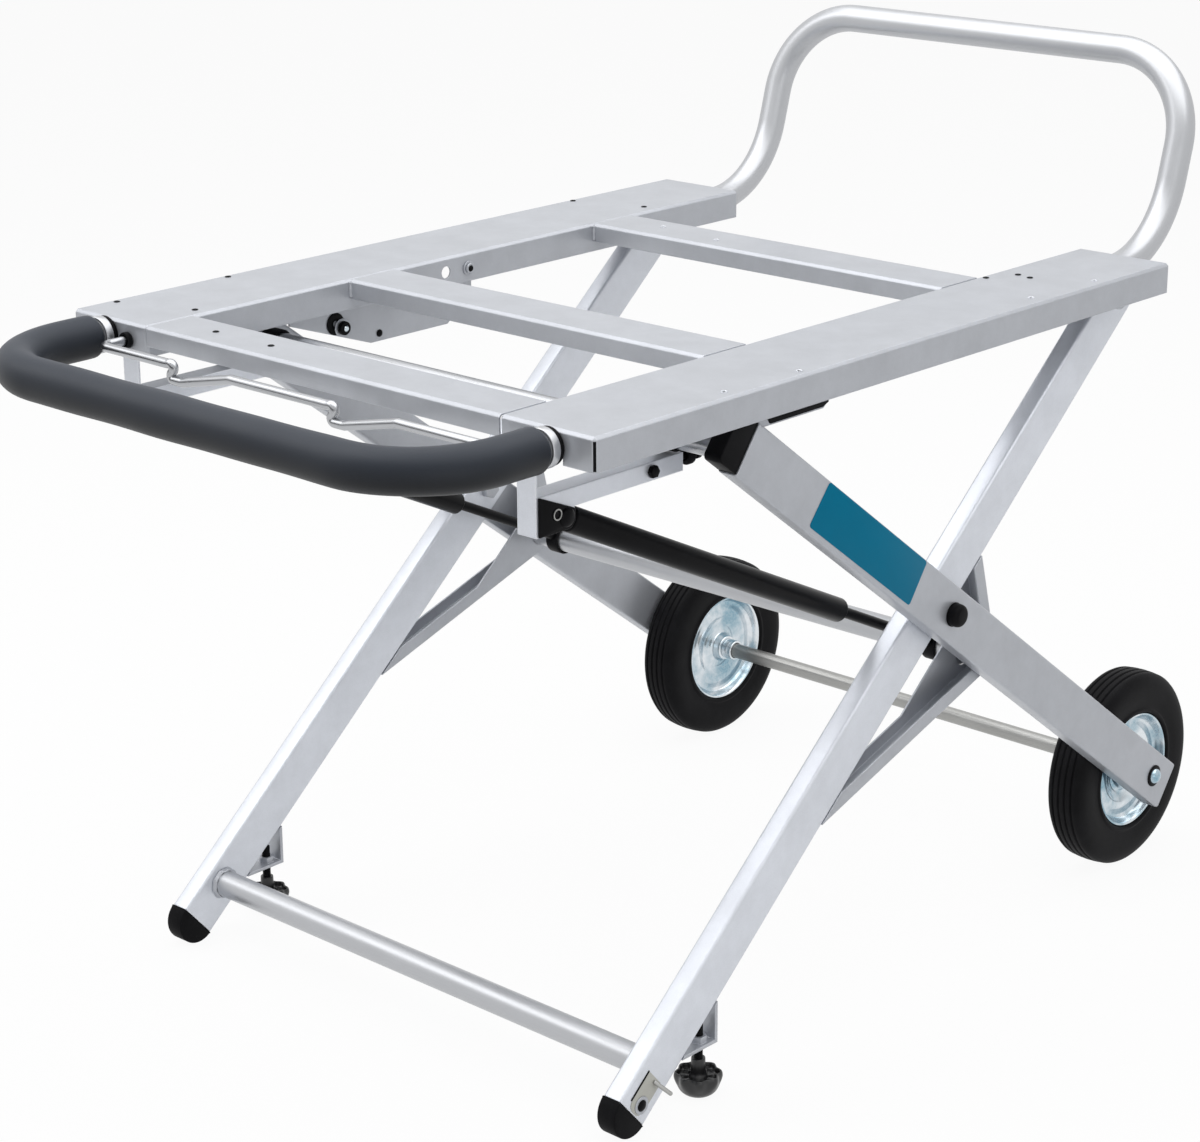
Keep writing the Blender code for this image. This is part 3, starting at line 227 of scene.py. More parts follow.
def carried(spots, tangents, section, hint):
    """Row i is spot i plus the section's two parts along side and rise, which are square to tangent i."""
    side = unit(np.cross(tangents, hint))
    rise = np.cross(side, tangents)
    return spots[:, None] + section[..., :1] * side[:, None] + section[..., 1:] * rise[:, None]


def swept(path, section, hint=(0, 0, 1)):
    """A section carried along every point of a path."""
    path = np.asarray(path, float)
    return carried(path, unit(np.gradient(path, axis=0)), section[None], hint)


def swollen(path, places, radii, sides=40, hint=(0, 0, 1)):
    """A round tube whose radius changes at the given lengths along its path."""
    spots, tangents = stations(path, places)
    return carried(spots, tangents, np.asarray(radii)[:, None, None] * ring(1, sides)[None], hint)


def turned(profile, steps=48, axis=2):
    """Row i is a circle of radius i at height i on the axis, whose columns are the turns round it."""
    radius, height = np.array(profile, float).T
    circle = ring(1, steps)
    grid = np.empty((len(radius), steps, 3))
    grid[..., :2] = radius[:, None, None] * circle[None]
    grid[..., 2] = height[:, None]
    return np.roll(grid, axis + 1, -1)


def outward(outline):
    """The unit normals of a closed outline, pointing out of it."""
    tangent = np.roll(outline, -1, 0) - np.roll(outline, 1, 0)
    normal = unit(np.stack([tangent[:, 1], -tangent[:, 0]], -1))
    area = np.sum(outline[:, 0] * np.roll(outline[:, 1], -1) - outline[:, 1] * np.roll(outline[:, 0], -1))
    return normal if area > 0 else -normal


def slab(outline, low, high, edge=0.0, steps=3):
    """An outline carried from low to high in x; its edges are quarter rounds drawn in along its normals."""
    turn = np.linspace(0, np.pi / 2, steps + 1)
    inset = np.concatenate([edge * (1 - np.sin(turn)), edge * (1 - np.sin(turn))[::-1]])
    heights = np.concatenate([low + edge * (1 - np.cos(turn)), high - edge * (1 - np.cos(turn))[::-1]])
    if edge == 0:
        inset, heights = np.zeros(2), np.array([low, high])
    rows = outline[None] - inset[:, None, None] * outward(outline)[None]
    return np.concatenate([rows, np.broadcast_to(heights[:, None, None], rows.shape[:2] + (1,))], -1)


def threads(radius, depth, pitch, low, high, sides=24, rows_per_turn=6):
    """A screw: radius minus depth times half of one plus the cosine of (height over pitch minus turn)."""
    heights = np.arange(low, high, pitch / rows_per_turn)
    share = np.linspace(0, 1, sides, endpoint=False)
    wave = 0.5 + 0.5 * np.cos(2 * np.pi * (heights[:, None] / pitch - share[None]))
    circle = ring(1, sides)
    grid = np.empty((len(heights), sides, 3))
    grid[..., :2] = (radius - depth * wave)[..., None] * circle[None]
    grid[..., 2] = heights[:, None]
    return grid


# Meshes

def skinned(name, grid, closed_rows=False, sharp=32):
    """The grid's quads as a closed mesh. Columns wrap round; rows wrap too, or flat faces close their ends.

    The map's first part is the length along the rows and its second the length along the columns.
    """
    rows, columns = grid.shape[:2]
    index = np.arange(rows * columns).reshape(rows, columns)
    full = np.concatenate([grid, grid[:, :1]], 1)
    index = np.concatenate([index, index[:, :1]], 1)
    if closed_rows:
        full = np.concatenate([full, full[:1]], 0)
        index = np.concatenate([index, index[:1]], 0)
    u = np.concatenate([[0], np.cumsum(np.linalg.norm(np.diff(full, axis=0), axis=-1).mean(1))])
    v = np.concatenate([[0], np.cumsum(np.linalg.norm(np.diff(full, axis=1), axis=-1).mean(0))])
    places = np.stack(np.meshgrid(u, v, indexing="ij"), -1)

    def quads(values):
        corners = (values[:-1, :-1], values[:-1, 1:], values[1:, 1:], values[1:, :-1])
        return np.stack(corners, 2).reshape(-1, 4, *values.shape[2:])

    faces, places, points = quads(index), quads(places), grid.reshape(-1, 3)
    ends = [] if closed_rows else [index[0, :-1][::-1], index[-1, :-1]]
    volume = solid_volume(points, faces, ends)
    if volume < 0:
        faces, places, ends = faces[:, ::-1], places[:, ::-1], [end[::-1] for end in ends]
    mesh = bpy.data.meshes.new(name)
    mesh.from_pydata(points.tolist(), [], faces.tolist() + [end.tolist() for end in ends])
    layer = mesh.uv_layers.new(name="surface")
    flat = np.zeros((len(mesh.loops), 2), np.float32)
    flat[:places.size // 2] = places.reshape(-1, 2)
    layer.data.foreach_set("uv", flat.ravel())
    mesh.shade_smooth()
    mesh.set_sharp_from_angle(angle=math.radians(sharp))
    return mesh


def solid_volume(points, faces, ends):
    """A sixth of the sum of a dot (b cross c) over the triangles, negative for a shell turned inside out."""
    fans = [np.stack([np.full(len(end) - 2, end[0]), end[1:-1], end[2:]], -1) for end in ends]
    triangles = np.concatenate([faces[:, [0, 1, 2]], faces[:, [0, 2, 3]], *fans])
    a, b, c = points[triangles[:, 0]], points[triangles[:, 1]], points[triangles[:, 2]]
    return float(np.sum(a * np.cross(b, c))) / 6


def linked(name, data):
    """A new object of some data, in the scene."""
    item = bpy.data.objects.new(name, data)
    bpy.context.scene.collection.objects.link(item)
    return item


def piece(name, grid, body, look, replaces="", closed_rows=False, sharp=32):
    """A finished piece: its mesh lies in the stand's frame, rides on a body, and may stand for a node."""
    mesh = skinned(name, grid, closed_rows, sharp)
    mesh.materials.append(finish(look).material)
    item = linked(name, mesh)
    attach(item, body)
    finish(look).slot
    if replaces:
        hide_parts(replaces)
    return item


def dress(nodes, look):
    """Gives carried-over nodes of the frame a finish."""
    for name in nodes:
        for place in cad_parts[name].material_slots:
            place.material = finish(look).material


# Finishes

class Value:
    """A shader socket that takes part in Python's arithmetic by adding Math nodes."""

    def __init__(self, look, socket):
        self.look = look
        self.socket = socket

    def _math(self, operation, first, second):
        return self.look.add("Math", {"operation": operation}, {0: first, 1: second})

    def __add__(self, other):
        return self._math("ADD", self, other)

    def __sub__(self, other):
        return self._math("SUBTRACT", self, other)

    def __mul__(self, other):
        return self._math("MULTIPLY", self, other)

    def __rsub__(self, other):
        return self._math("SUBTRACT", other, self)

    __radd__ = __add__
    __rmul__ = __mul__


class Finish:
    """A node material under construction, and the record's slot that it stands for."""

    def __init__(self, name, slot):
        self.slot = slot
        self.material = bpy.data.materials.new(name)
        self.material.use_nodes = True
        self.tree = self.material.node_tree
        self.tree.nodes.clear()

    def add(self, kind, settings=None, inputs=None, output=0):
        """A node of a type, its settings, then its sockets' values or links."""
        node = self.tree.nodes.new("ShaderNode" + kind)
        for name, value in (settings or {}).items():
            if name == "stops":
                self._stops(node.color_ramp, value)
            else:
                setattr(node, name, value)
        for name, value in (inputs or {}).items():
            if isinstance(value, Value):
                self.tree.links.new(value.socket, node.inputs[name])
            else:
                node.inputs[name].default_value = value
        return Value(self, node.outputs[output]) if node.outputs else None

    @staticmethod
    def _stops(ramp, stops):
        for element, (position, shade) in zip(ramp.elements, stops):
            element.position = position
            element.color = (shade, shade, shade, 1)

    def spot(self):
        """The point on the object."""
        return self.add("TexCoord", output="Object")

    def map(self):
        """The piece's own map: the length along it, and the length round it."""
        return self.add("TexCoord", output="UV")

    def stretched(self, vector, scale):
        return self.add("VectorMath", {"operation": "MULTIPLY"}, {0: vector, 1: scale})

    def noise(self, vector, scale, detail=2.0, roughness=0.5):
        inputs = {"Vector": vector, "Scale": scale, "Detail": detail, "Roughness": roughness}
        return self.add("TexNoise", inputs=inputs)

    def cells(self, vector, scale):
        """The distance to the nearest cell's middle."""
        return self.add("TexVoronoi", inputs={"Vector": vector, "Scale": scale})

    def step(self, value, low, high):
        """Nothing below low, everything above high."""
        return self.add("ValToRGB", {"stops": ((low, 0), (high, 1))}, {0: value})

    def mix(self, factor, first, second):
        colours = [(*c, 1) if isinstance(c, (tuple, list)) else c for c in (first, second)]
        return self.add("Mix", {"data_type": "RGBA"}, {0: factor, 6: colours[0], 7: colours[1]}, output=2)

    def edge(self, radius):
        """The surface normal, rounded over near edges."""
        return self.add("Bevel", {"samples": 4}, {"Radius": radius})

    def bump(self, height, depth, normal=None, strength=1.0):
        inputs = {"Height": height, "Distance": depth, "Strength": strength}
        if normal:
            inputs["Normal"] = normal
        return self.add("Bump", inputs=inputs)

    def shade(self, **inputs):
        """The surface shader; a socket's name is written with low lines for its spaces."""
        named = {name.replace("_", " "): value for name, value in inputs.items()}
        surface = self.add("BsdfPrincipled", inputs=named)
        self.add("OutputMaterial", inputs={"Surface": surface})
        return self


def colour(name):
    return tuple(getattr(bpy.context.scene.stand_colours, name))


def size(name):
    return getattr(bpy.context.scene.stand_sizes, name)


def scaled(shade, factor):
    return tuple(part * factor for part in shade)


FINISHES = {}


def finish(name):
    """A finish by its name, made once."""
    if name not in FINISHES:
        FINISHES[name] = MAKERS[name](name)
    return FINISHES[name]


def painted(name, base):
    """Satin silver: fine flakes, faint clouds, orange peel, and a painted highlight that brightens the edges
    in a broken line.
    """
    look = Finish(name, "silver_paint")
    spot = look.spot()
    flakes = look.noise(spot, 1400, 1)
    clouds = look.noise(spot, 9, 4, 0.6)
    blotches = look.step(look.noise(spot, 24, 5, 0.7), 0.36, 0.66)
    shade = look.mix(flakes * 0.4 + clouds * 0.3 + blotches * 0.3, scaled(base, 0.84), scaled(base, 1.14))
    rounded_normal = look.edge(0.0016)
    straight = look.add("NewGeometry", output="Normal")
    match = look.add("VectorMath", {"operation": "DOT_PRODUCT"}, {0: rounded_normal, 1: straight},
                     output="Value")
    # Painted highlight: near edges the paint is mixed towards a copy 1.45 times lighter, broken up by noise.
    highlight_breakup = look.step(look.noise(spot, 60, 6, 0.7), 0.35, 0.60)
    beyond_edge_highlight = look.step(match, 0.80, 0.97)
    shade = look.mix((1 - beyond_edge_highlight) * (highlight_breakup * 0.4 + 0.6), shade, scaled(base, 1.45))
    peel = look.noise(spot, 420, 2)
    normal = look.bump(peel, 0.00006, rounded_normal, 0.5)
    rough = clouds * 0.10 + flakes * 0.05 + 0.30
    return look.shade(Base_Color=shade, Roughness=rough, Metallic=0.45, Normal=normal)


def silver_paint(name):
    return painted(name, colour("paint"))


# Painted light: the same silver paint made 1.55 times lighter, for faces that the lamps light more.
def pale_paint(name):
    return painted(name, scaled(colour("paint"), 1.55))


def bright_tube(name):
    """Drawn tube: long fine lines along the piece, and slightly duller clouds."""
    look = Finish(name, "bright_tube")
    base = colour("bare_metal")
    lines = look.noise(look.stretched(look.map(), (10, 1100, 1)), 1, 2)
    clouds = look.noise(look.spot(), 22, 4, 0.6)
    shade = look.mix(lines * 0.5 + clouds * 0.5, scaled(base, 0.90), scaled(base, 1.06))
    normal = look.bump(lines, 0.00003, strength=0.12)
    rough = lines * 0.08 + clouds * 0.10 + 0.27
    return look.shade(Base_Color=shade, Roughness=rough, Metallic=0.85, Normal=normal)


def dull_steel(name):
    """Bare axle steel: drawn lines along it, and brownish grey clouds."""
    look = Finish(name, "bright_tube")
    base = colour("steel")
    lines = look.noise(look.stretched(look.map(), (12, 800, 1)), 1, 3)
    clouds = look.noise(look.spot(), 16, 5, 0.65)
    shade = look.mix(lines * 0.4 + clouds * 0.6, scaled(base, 0.75), scaled(base, 1.25))
    normal = look.bump(lines, 0.00004, strength=0.15)
    return look.shade(Base_Color=shade, Roughness=clouds * 0.20 + 0.24, Metallic=0.9, Normal=normal)


def chrome_wire(name):
    """Bright bar and wire with smears drawn out along it."""
    look = Finish(name, "chrome_wire")
    base = colour("bare_metal")
    smears = look.noise(look.stretched(look.map(), (9, 260, 1)), 1, 3)
    shade = look.mix(smears, scaled(base, 0.60), scaled(base, 1.15))
    return look.shade(Base_Color=shade, Roughness=smears * 0.16 + 0.20, Metallic=1.0)


def zinc_plate(name):
    """Blue-white zinc: soft bluish clouds, a crystalline mottle and a pressed sheen."""
    look = Finish(name, "zinc_plate")
    spot = look.spot()
    clouds = look.noise(spot, 26, 3, 0.55)
    mottle = look.cells(spot, 420)
    tint = look.mix(look.step(clouds, 0.38, 0.62), colour("zinc"), colour("zinc_blue"))
    shade = look.mix(mottle * 0.35, tint, scaled(colour("zinc"), 0.86))
    normal = look.bump(mottle, 0.00002, strength=0.4)
    return look.shade(Base_Color=shade, Roughness=clouds * 0.14 + 0.12, Metallic=0.97, Normal=normal)


def moulded(name, slot, base, rough, grain, depth, dust, shine=0.06):
    """A moulded black: fine grain, and a little dust in soft patches."""
    look = Finish(name, slot)
    spot = look.spot()
    clouds = look.noise(spot, 18, 5, 0.65)
    fine = look.noise(spot, grain, 3)
    patches = look.step(clouds, 0.45, 0.75)
    shade = look.mix(patches * dust, scaled(base, 0.85), tuple(part * 1.6 + 0.004 for part in base))
    normal = look.bump(fine, depth, strength=0.6)
    rough = clouds * 0.14 + fine * 0.06 + rough
    return look.shade(Base_Color=shade, Roughness=rough, Normal=normal, Specular_IOR_Level=shine)


def black_plastic(name):
    return moulded(name, "black_plastic", colour("plastic"), 0.32, 1500, 0.00004, 0.5)


def glossy_plastic(name):
    return moulded(name, "black_plastic", colour("plastic"), 0.20, 1500, 0.00004, 0.5, 0.55)


def black_rubber(name):
    return moulded(name, "black_rubber", colour("plastic"), 0.48, 900, 0.00006, 0.8)


def tyre_rubber(name):
    return moulded(name, "tyre", colour("tyre"), 0.44, 700, 0.00008, 0.9, 0.08)


def black_foam(name):
    """Closed-cell foam: tiny cells, a soft skin, and painted light and shade: a lighter bluish copy on its
    upper side and a darker copy below.
    """
    look = Finish(name, "black_foam")
    spot = look.spot()
    cells = look.cells(spot, 1100)
    clouds = look.noise(spot, 14, 4, 0.6)
    base = colour("foam")
    grain = cells * 0.5 + clouds * 0.5
    straight = look.add("NewGeometry", output="Normal")
    rise = look.add("SeparateXYZ", inputs={0: straight}, output="Z")
    # Painted light and shade: faces turned up get the foam 1.3 times lighter, and the bare mix, at a fifth to
    # two fifths of the foam, is painted shade on the rest.
    painted_top_light = look.step(rise * 0.5 + clouds * 0.1 + 0.45, 0.30, 0.90)
    bare = look.mix(grain, scaled(base, 0.20), scaled(base, 0.40))
    shade = look.mix(painted_top_light, bare, scaled(base, 1.3))
    normal = look.bump(cells + clouds * 0.6, 0.00012, strength=0.5)
    rough = clouds * 0.15 + 0.40
    return look.shade(Base_Color=shade, Roughness=rough, Normal=normal, Specular_IOR_Level=0.27)


def black_enamel(name):
    """Gloss black with faint orange peel."""
    look = Finish(name, "black_enamel")
    spot = look.spot()
    clouds = look.noise(spot, 30, 4, 0.6)
    base = colour("plastic")
    shade = look.mix(clouds, scaled(base, 0.6), scaled(base, 1.3))
    normal = look.bump(look.noise(spot, 350, 2), 0.00004, strength=0.4)
    rough = clouds * 0.12 + 0.24
    return look.shade(Base_Color=shade, Roughness=rough, Normal=normal, Specular_IOR_Level=0.06)


def slot_plate(name):
    """Dull passivated sheet: pale brownish clouds and fine rubbed lines."""
    look = Finish(name, "zinc_plate")
    spot = look.spot()
    clouds = look.noise(spot, 60, 4, 0.6)
    lines = look.noise(look.stretched(spot, (300, 300, 2400)), 1, 2)
    base = colour("slot")
    shade = look.mix(clouds * 0.6 + lines * 0.4, scaled(base, 0.80), scaled(base, 1.20))
    normal = look.bump(lines, 0.00003, strength=0.4)
    return look.shade(Base_Color=shade, Roughness=clouds * 0.15 + 0.42, Metallic=0.5, Normal=normal)


def teal_film(name):
    """A bare plate of teal film with a fine print grain."""
    look = Finish(name, "silver_paint")
    spot = look.spot()
    grain = look.noise(spot, 1600, 1)
    clouds = look.noise(spot, 30, 3)
    base = colour("label")
    shade = look.mix(grain * 0.5 + clouds * 0.5, scaled(base, 0.88), scaled(base, 1.12))
    return look.shade(Base_Color=shade, Roughness=clouds * 0.12 + 0.34, Specular_IOR_Level=0.08)


MAKERS = {maker.__name__: maker for maker in (
    silver_paint, pale_paint, bright_tube, dull_steel, chrome_wire, zinc_plate, black_plastic, glossy_plastic,
    black_rubber, tyre_rubber, black_foam, black_enamel, slot_plate, teal_film)}


# Turned shapes and small fasteners, each with its seat at zero

def rod(radius, low, high, sides=32, axis=2):
    """A plain round bar: circles of one radius at two heights."""
    return turned([(radius, low), (radius, high)], sides, axis)


def sleeve(bore, radius, length, edge, sides, bends=3, axis=2):
    """A ring: the rounded oblong between bore and radius, turned about the axis."""
    section = loop([(bore, 0), (radius, 0), (radius, length), (bore, length)], edge, bends)
    return turned(section, sides, axis)


def washer(radius, bore, thickness):
    """A flat ring whose edges are rounded by a quarter of its thickness."""
    return sleeve(bore, radius, thickness, thickness / 4, 40, 2)


def hex_head(radius, height):
    """A hexagon head whose outer edge is turned down."""
    rows = [(radius, 0), (radius, height * 0.75), (radius * 0.93, height * 0.94), (radius * 0.80, height)]
    return turned(rows, 6)


def dome_head(radius, height):
    """A low round head: a quarter ellipse turned about x."""
    turn = np.radians(np.linspace(0, 84, 9))
    return turned(np.stack([radius * np.cos(turn), height * np.sin(turn)], -1), 32)


def at(grid, along=0.0, across=0.0, x=0.0):
    """A shape moved in the side view."""
    return grid + (along, across, x)


# Deck

def deck_sheets():
    """The pressed sheets of the deck and of what hangs under it."""
    nodes = ["front_member", "crossbar_front", "crossbar_rear"]
    for name, _ in SIDES:
        nodes += [part + name for part in ("rail_", "side_plate_", "hinge_bracket_")]
    dress(nodes, "silver_paint")
    # The track brackets get the lighter copy of the silver paint, a painted highlight.
    dress(["track_bracket_" + name for name, _ in SIDES], "pale_paint")


DECK_SCREWS = [(-.3056, .0414), (-.3073, .1725), (-.2293, .0678), (-.1534, .0275), (-.0809, .0263),
               (-.2316, .6649), (-.1516, .6038), (-.0724, .5921), (-.3077, .6396), (.3004, .1653),
               (.3037, .2552), (.2975, .5912), (.302, .6846), (.2359, .6593), (.2512, .6563), (.221, .6298)]
PAINTED_SCREWS = (6, 7)
PAINTED_BEYOND_X = 0.29


def deck_fasteners():
    """Sunk screws in the deck's top, the open seams at its front corners, and black strips under its skirts.

    A screw is a low ring with a dished middle, and those near the right side are painted over, in the silver
    paint's lighter copy that is a painted highlight. A seam is a narrow strip that stands across a corner. A
    shadow strip is a painted shadow: a black strip along the skirt's lower edge, whose lower line rises to
    meet the skirt at its rear end.
    """
    radius = size("deck_screw") / 2
    rows = [(radius, 0), (radius, 0.0003), (radius * 0.86, 0.0006), (radius * 0.52, 0.0001),
            (radius * 0.30, 0.0)]
    for number, (x, y) in enumerate(DECK_SCREWS):
        # Screws near the right side get the lighter copy of the silver paint, a painted highlight.
        look = "pale_paint" if x > PAINTED_BEYOND_X or number in PAINTED_SCREWS else "black_enamel"
        screw = turned(rows, 28) + (x, y + FRONT_Y, DECK_TOP)
        piece(f"deck_screw_{number:02d}", screw, "deck_frame", look)
    skirt_low = DECK_TOP - RAIL_SKIRT
    strip = np.array([(0.0004, 0.0021), (0.0021, 0.0004), (0.0019, 0.0002), (0.0002, 0.0019)])
    seam = slab(strip, skirt_low + 0.001, DECK_TOP - 0.0035)
    # Painted shadow: a black strip along each skirt's lower edge.
    outline = loop([(0.2050, skirt_low - 0.0002), (0.2080, skirt_low - 0.0048),
                    (0.2750, skirt_low - 0.0046), (0.2860, skirt_low - 0.0002)],
                   (0.0008, 0.001, 0.003, 0.0008), 4)
    shadow_strip = slab(outline, DECK_HALF - 0.0022, DECK_HALF - 0.0002, 0.0004)
    for name, side in SIDES:
        corner = seam * (-side, 1, 1) + (side * DECK_HALF, FRONT_Y, 0)
        piece("corner_seam_" + name, corner, "deck_frame", "black_rubber")
    DECK.pair("edge_guard", shadow_strip, "black_rubber")


def grip_path(start_y):
    """From one leg of the front grip round to the other, in the stand's frame."""
    arm = [(start_y, 0), (-GRIP_REACH, 0)]
    corners = [(-GRIP_X, *spot) for spot in arm] + [(GRIP_X, *spot) for spot in arm[::-1]]
    return rounded(corners, GRIP_CORNER, 24) + (0, FRONT_Y, TUBE_Z)


def front_grip():
    """The bent tube, the foam sleeve over it, and a bright collar and a black seal at each of its ends.

    The sleeve's outer radius is the foam's plus two low sine waves along it, drawn in by a quarter round at
    both ends, and its inner rows run back through the bore.
    """
    tube = swept(grip_path(0.070), ring(TUBE_RADIUS, 40))
    piece("grip_tube_bent", tube, "deck_frame", "bright_tube", "grip_tube")
    path = grip_path(-0.015)
    length = float(np.sum(np.linalg.norm(np.diff(path, axis=0), axis=-1)))
    radius = size("foam") / 2
    edge = 0.006
    bore_rows = 80
    turn = np.linspace(0, np.pi / 2, 7)
    rise = edge * (1 - np.cos(turn))
    swell = radius - edge * (1 - np.sin(turn))
    middle = np.linspace(edge, length - edge, 160)[1:-1]
    lumps = 0.00018 * (np.sin(middle * 61) + np.sin(middle * 37 + 1))
    places = np.concatenate([rise, middle, (length - rise)[::-1], np.linspace(length, 0, bore_rows)])
    outer_radii = np.concatenate([swell, radius - 0.0002 + lumps, swell[::-1]])
    radii = np.concatenate([outer_radii, np.full(bore_rows, TUBE_RADIUS + GAP)])
    foam = piece("foam_sleeve", swollen(path, places, radii, 48), "deck_frame", "black_foam", "grip_foam",
                 closed_rows=True, sharp=60)
    bore, edge = 0.0128, 0.0010
    collar = at(sleeve(bore, 0.0165, 0.008, edge, 48, axis=0), -0.0130, TUBE_Z, GRIP_X)
    seal = at(sleeve(bore, 0.0158, 0.0042, edge, 48, axis=0), -0.0046, TUBE_Z, GRIP_X)
    DECK.pair("grip_collar", collar, "bright_tube", closed_rows=True)
    DECK.pair("grip_seal", seal, "black_rubber", closed_rows=True)


def rear_handle():
    """One tube out of both rails, bent up and closed in a round-cornered loop."""
    start_y, bend_y, back_y, top = 0.640, 0.8717, 0.9246, 0.7980
    low = SEAT_TOP - HANDLE_RADIUS
    arm = [(start_y, low), (bend_y, low), (back_y, top)]
    corners = [(-HANDLE_X, *spot) for spot in arm] + [(HANDLE_X, *spot) for spot in arm[::-1]]
    path = rounded(corners, (0.100, 0.085, 0.085, 0.100), 24) + (0, FRONT_Y, 0)
    tube = swept(path, ring(HANDLE_RADIUS, 44), hint=(0, 0.6, -0.8))
    piece("handle_tube", tube, "deck_frame", "bright_tube", "rear_handle")


def release_bail():
    """The wire across the front with its two kinks, and the bushings that its arms slide in."""
    inside, front, half, bend = 0.045, -0.030, 0.040, 0.010
    crest, hook, rise, drop = 0.018, -0.004, 0.0045, -0.0135
    tight = BAIL_RADIUS * 0.9
    corners = [(-BAIL_X, inside, 0), (-BAIL_X, front, 0)]
    radii = [bend]
    for middle in (-0.108, 0.092):
        left = middle - half
        corners += [(left, front, 0), (left + crest, front, rise), (left + hook, front, drop),
                    (left + crest, front, drop), (middle + half, front, 0)]
        radii += [bend, tight, tight, bend / 2, bend]
    corners += [(BAIL_X, front, 0), (BAIL_X, inside, 0)]
    path = rounded(corners, [*radii, bend], 8) + (0, FRONT_Y, BAIL_Z)
    wire = swept(path, ring(BAIL_RADIUS, 20), hint=(0, 0.8, 0.6))
    piece("bail_wire", wire, "bail", "chrome_wire", "release_bail")
    bush = sleeve(BAIL_RADIUS + 0.0005, 0.0074, 0.0048, 0.0010, 32, axis=0)
    DECK.pair("bail_bush", at(bush, -0.0051, BAIL_Z, BAIL_X), "black_plastic", closed_rows=True)


def hinge_pins():
    """The shanks through the ears and the legs, and their low heads outside."""
    low, high = FOOT_LEG_X - 0.0128, FOOT_LEG_X + 0.0131
    shank = at(rod(0.005, low, high + 0.0005), *HINGE)
    DECK.pair("hinge_shank", shank, "zinc_plate", "hinge_pin")
    DECK.pair("hinge_head", at(dome_head(0.009, 0.004), *HINGE, high), "silver_paint")


def stop_bolts():
    """The bolts behind the track brackets, with their rubber rings."""
    rows = [(0.003, 0), (0.003, 0.0262), (0.0055, 0.0263), (0.0055, 0.0295), (0.0045, 0.0303)]
    bolt = at(turned(rows, 28, axis=0), TRACK_REAR + GAP, STOP_Z, TRACK_X)
    DECK.pair("stop_bolt_turned", bolt, "black_enamel", "stop_bolt")
    buffer = at(sleeve(0.0031, 0.008, 0.008, 0.002, 36, 4, axis=0), TRACK_REAR + 0.0123, STOP_Z, TRACK_X)
    DECK.pair("stop_buffer", buffer, "black_rubber", closed_rows=True)


def spring_forks():
    """Two cheeks round each gas spring's front eye, the pin's head with its eyelet, and the track's bolt."""
    outline = loop([(0.0040, 0.5345), (0.0400, 0.5345), (0.0450, 0.5400), (0.0450, 0.5500), (0.0040, 0.5672)],
                   (0.0005, 0.005, 0.004, 0.004, 0.001), 5)
    outer, inner = TRACK_X + 0.0101, TRACK_X - 0.0119
    for label, low in (("outer", outer), ("inner", inner)):
        DECK.pair("spring_fork_" + label, at(slab(outline, 0, 0.0018, 0.0005), x=low), "black_enamel")
    face = TRACK_X + 0.0120
    DECK.pair("spring_pin", at(dome_head(0.0080, 0.0030), *SPRING_PIN, face), "black_enamel")
    eyelet = at(washer(0.0048, 0.0036, 0.0012), 0.0235, 0.5495, face)
    DECK.pair("spring_eyelet", eyelet, "dull_steel", closed_rows=True)
    DECK.pair("track_bolt", at(hex_head(0.0055, 0.0045), 0.1363, 0.5590, outer), "black_enamel")


PLATE_BOLT = (0.2405, 0.5800)
SKIRT_BOLT = (0.3926, 0.6130)


def plate_bolts():
    """The disc, bolt and screw on each side plate's inner face, and the bolt on the rail's inner skirt.

    All of them are built outwards from zero, turned to stand inwards, and set on their face.
    """
    inward = (1, 1, -1)
    face = (0, 0, SIDE_PLATE_X - 0.0011)
    skirt = face[2] - RAIL_INSIDE + GAP
    rings = (("disc", (0.0105, 0.0030, 0.0010), (0.2335, 0.5845, 0), "black_enamel"),
             ("washer", (0.0088, 0.0030, 0.0010), (*PLATE_BOLT, 0.0011), "silver_paint"),
             ("nut", (0.0066, 0.0030, 0.0050), (*PLATE_BOLT, 0.0022), "black_enamel"),
             ("rear_washer", (0.0070, 0.0028, 0.0010), (*SKIRT_BOLT, skirt), "silver_paint"),
             ("rear_nut", (0.0050, 0.0028, 0.0025), (*SKIRT_BOLT, skirt + 0.0011), "silver_paint"))
    for label, measures, spot, look in rings:
        DECK.pair("plate_" + label, at(washer(*measures), *spot) * inward + face, look, closed_rows=True)
    studs = (("stud", 0.0080, (*PLATE_BOLT, 0), "zinc_plate"),
             ("rear_stud", 0.0038, (*SKIRT_BOLT, skirt), "black_enamel"))
    for label, length, spot, look in studs:
        stud = turned([(0.0028, 0), (0.0028, length), (0.0020, length + 0.0008)], 20)
        DECK.pair("plate_" + label, at(stud, *spot) * inward + face, look)
    screw = at(dome_head(0.0036, 0.0024), 0.2890, 0.5655) * inward + face
    DECK.pair("plate_screw", screw, "black_enamel")


def corner_welds():
    """Small beads where the deck's members meet the rails."""
    bead = turned(smooth([(0.0004, -0.0170), (0.0022, -0.0160), (0.0018, -0.0120), (0.0022, -0.0080),
                          (0.0018, -0.0050), (0.0021, -0.0022)], 3), 14)
    for name, side in SIDES:
        for number, y in enumerate((0.2395, 0.2975, 0.5695, 0.6275)):
            spot = (side * (RAIL_INSIDE - 0.0006), y + FRONT_Y, DECK_TOP)
            piece(f"corner_weld_{name}_{number}", bead + spot, "deck_frame", "silver_paint", sharp=60)


def under_deck_fittings():
    """What is bolted or welded on under the deck."""
    hinge_pins()
    stop_bolts()
    spring_forks()
    plate_bolts()
    corner_welds()


# Foot frame

def leg_tubes(stem, side_frame, depth, first, last, x, look, node):
    """A rectangular tube along each leg: the rounded section carried from first to last."""
    section = box_outline(depth, LEG_WIDTH, 0.003)
    rows = np.stack([np.insert(section, 0, along, axis=1) for along in (first, last)])
    side_frame.pair(stem, at(rows, x=x), look, node, sharp=50)


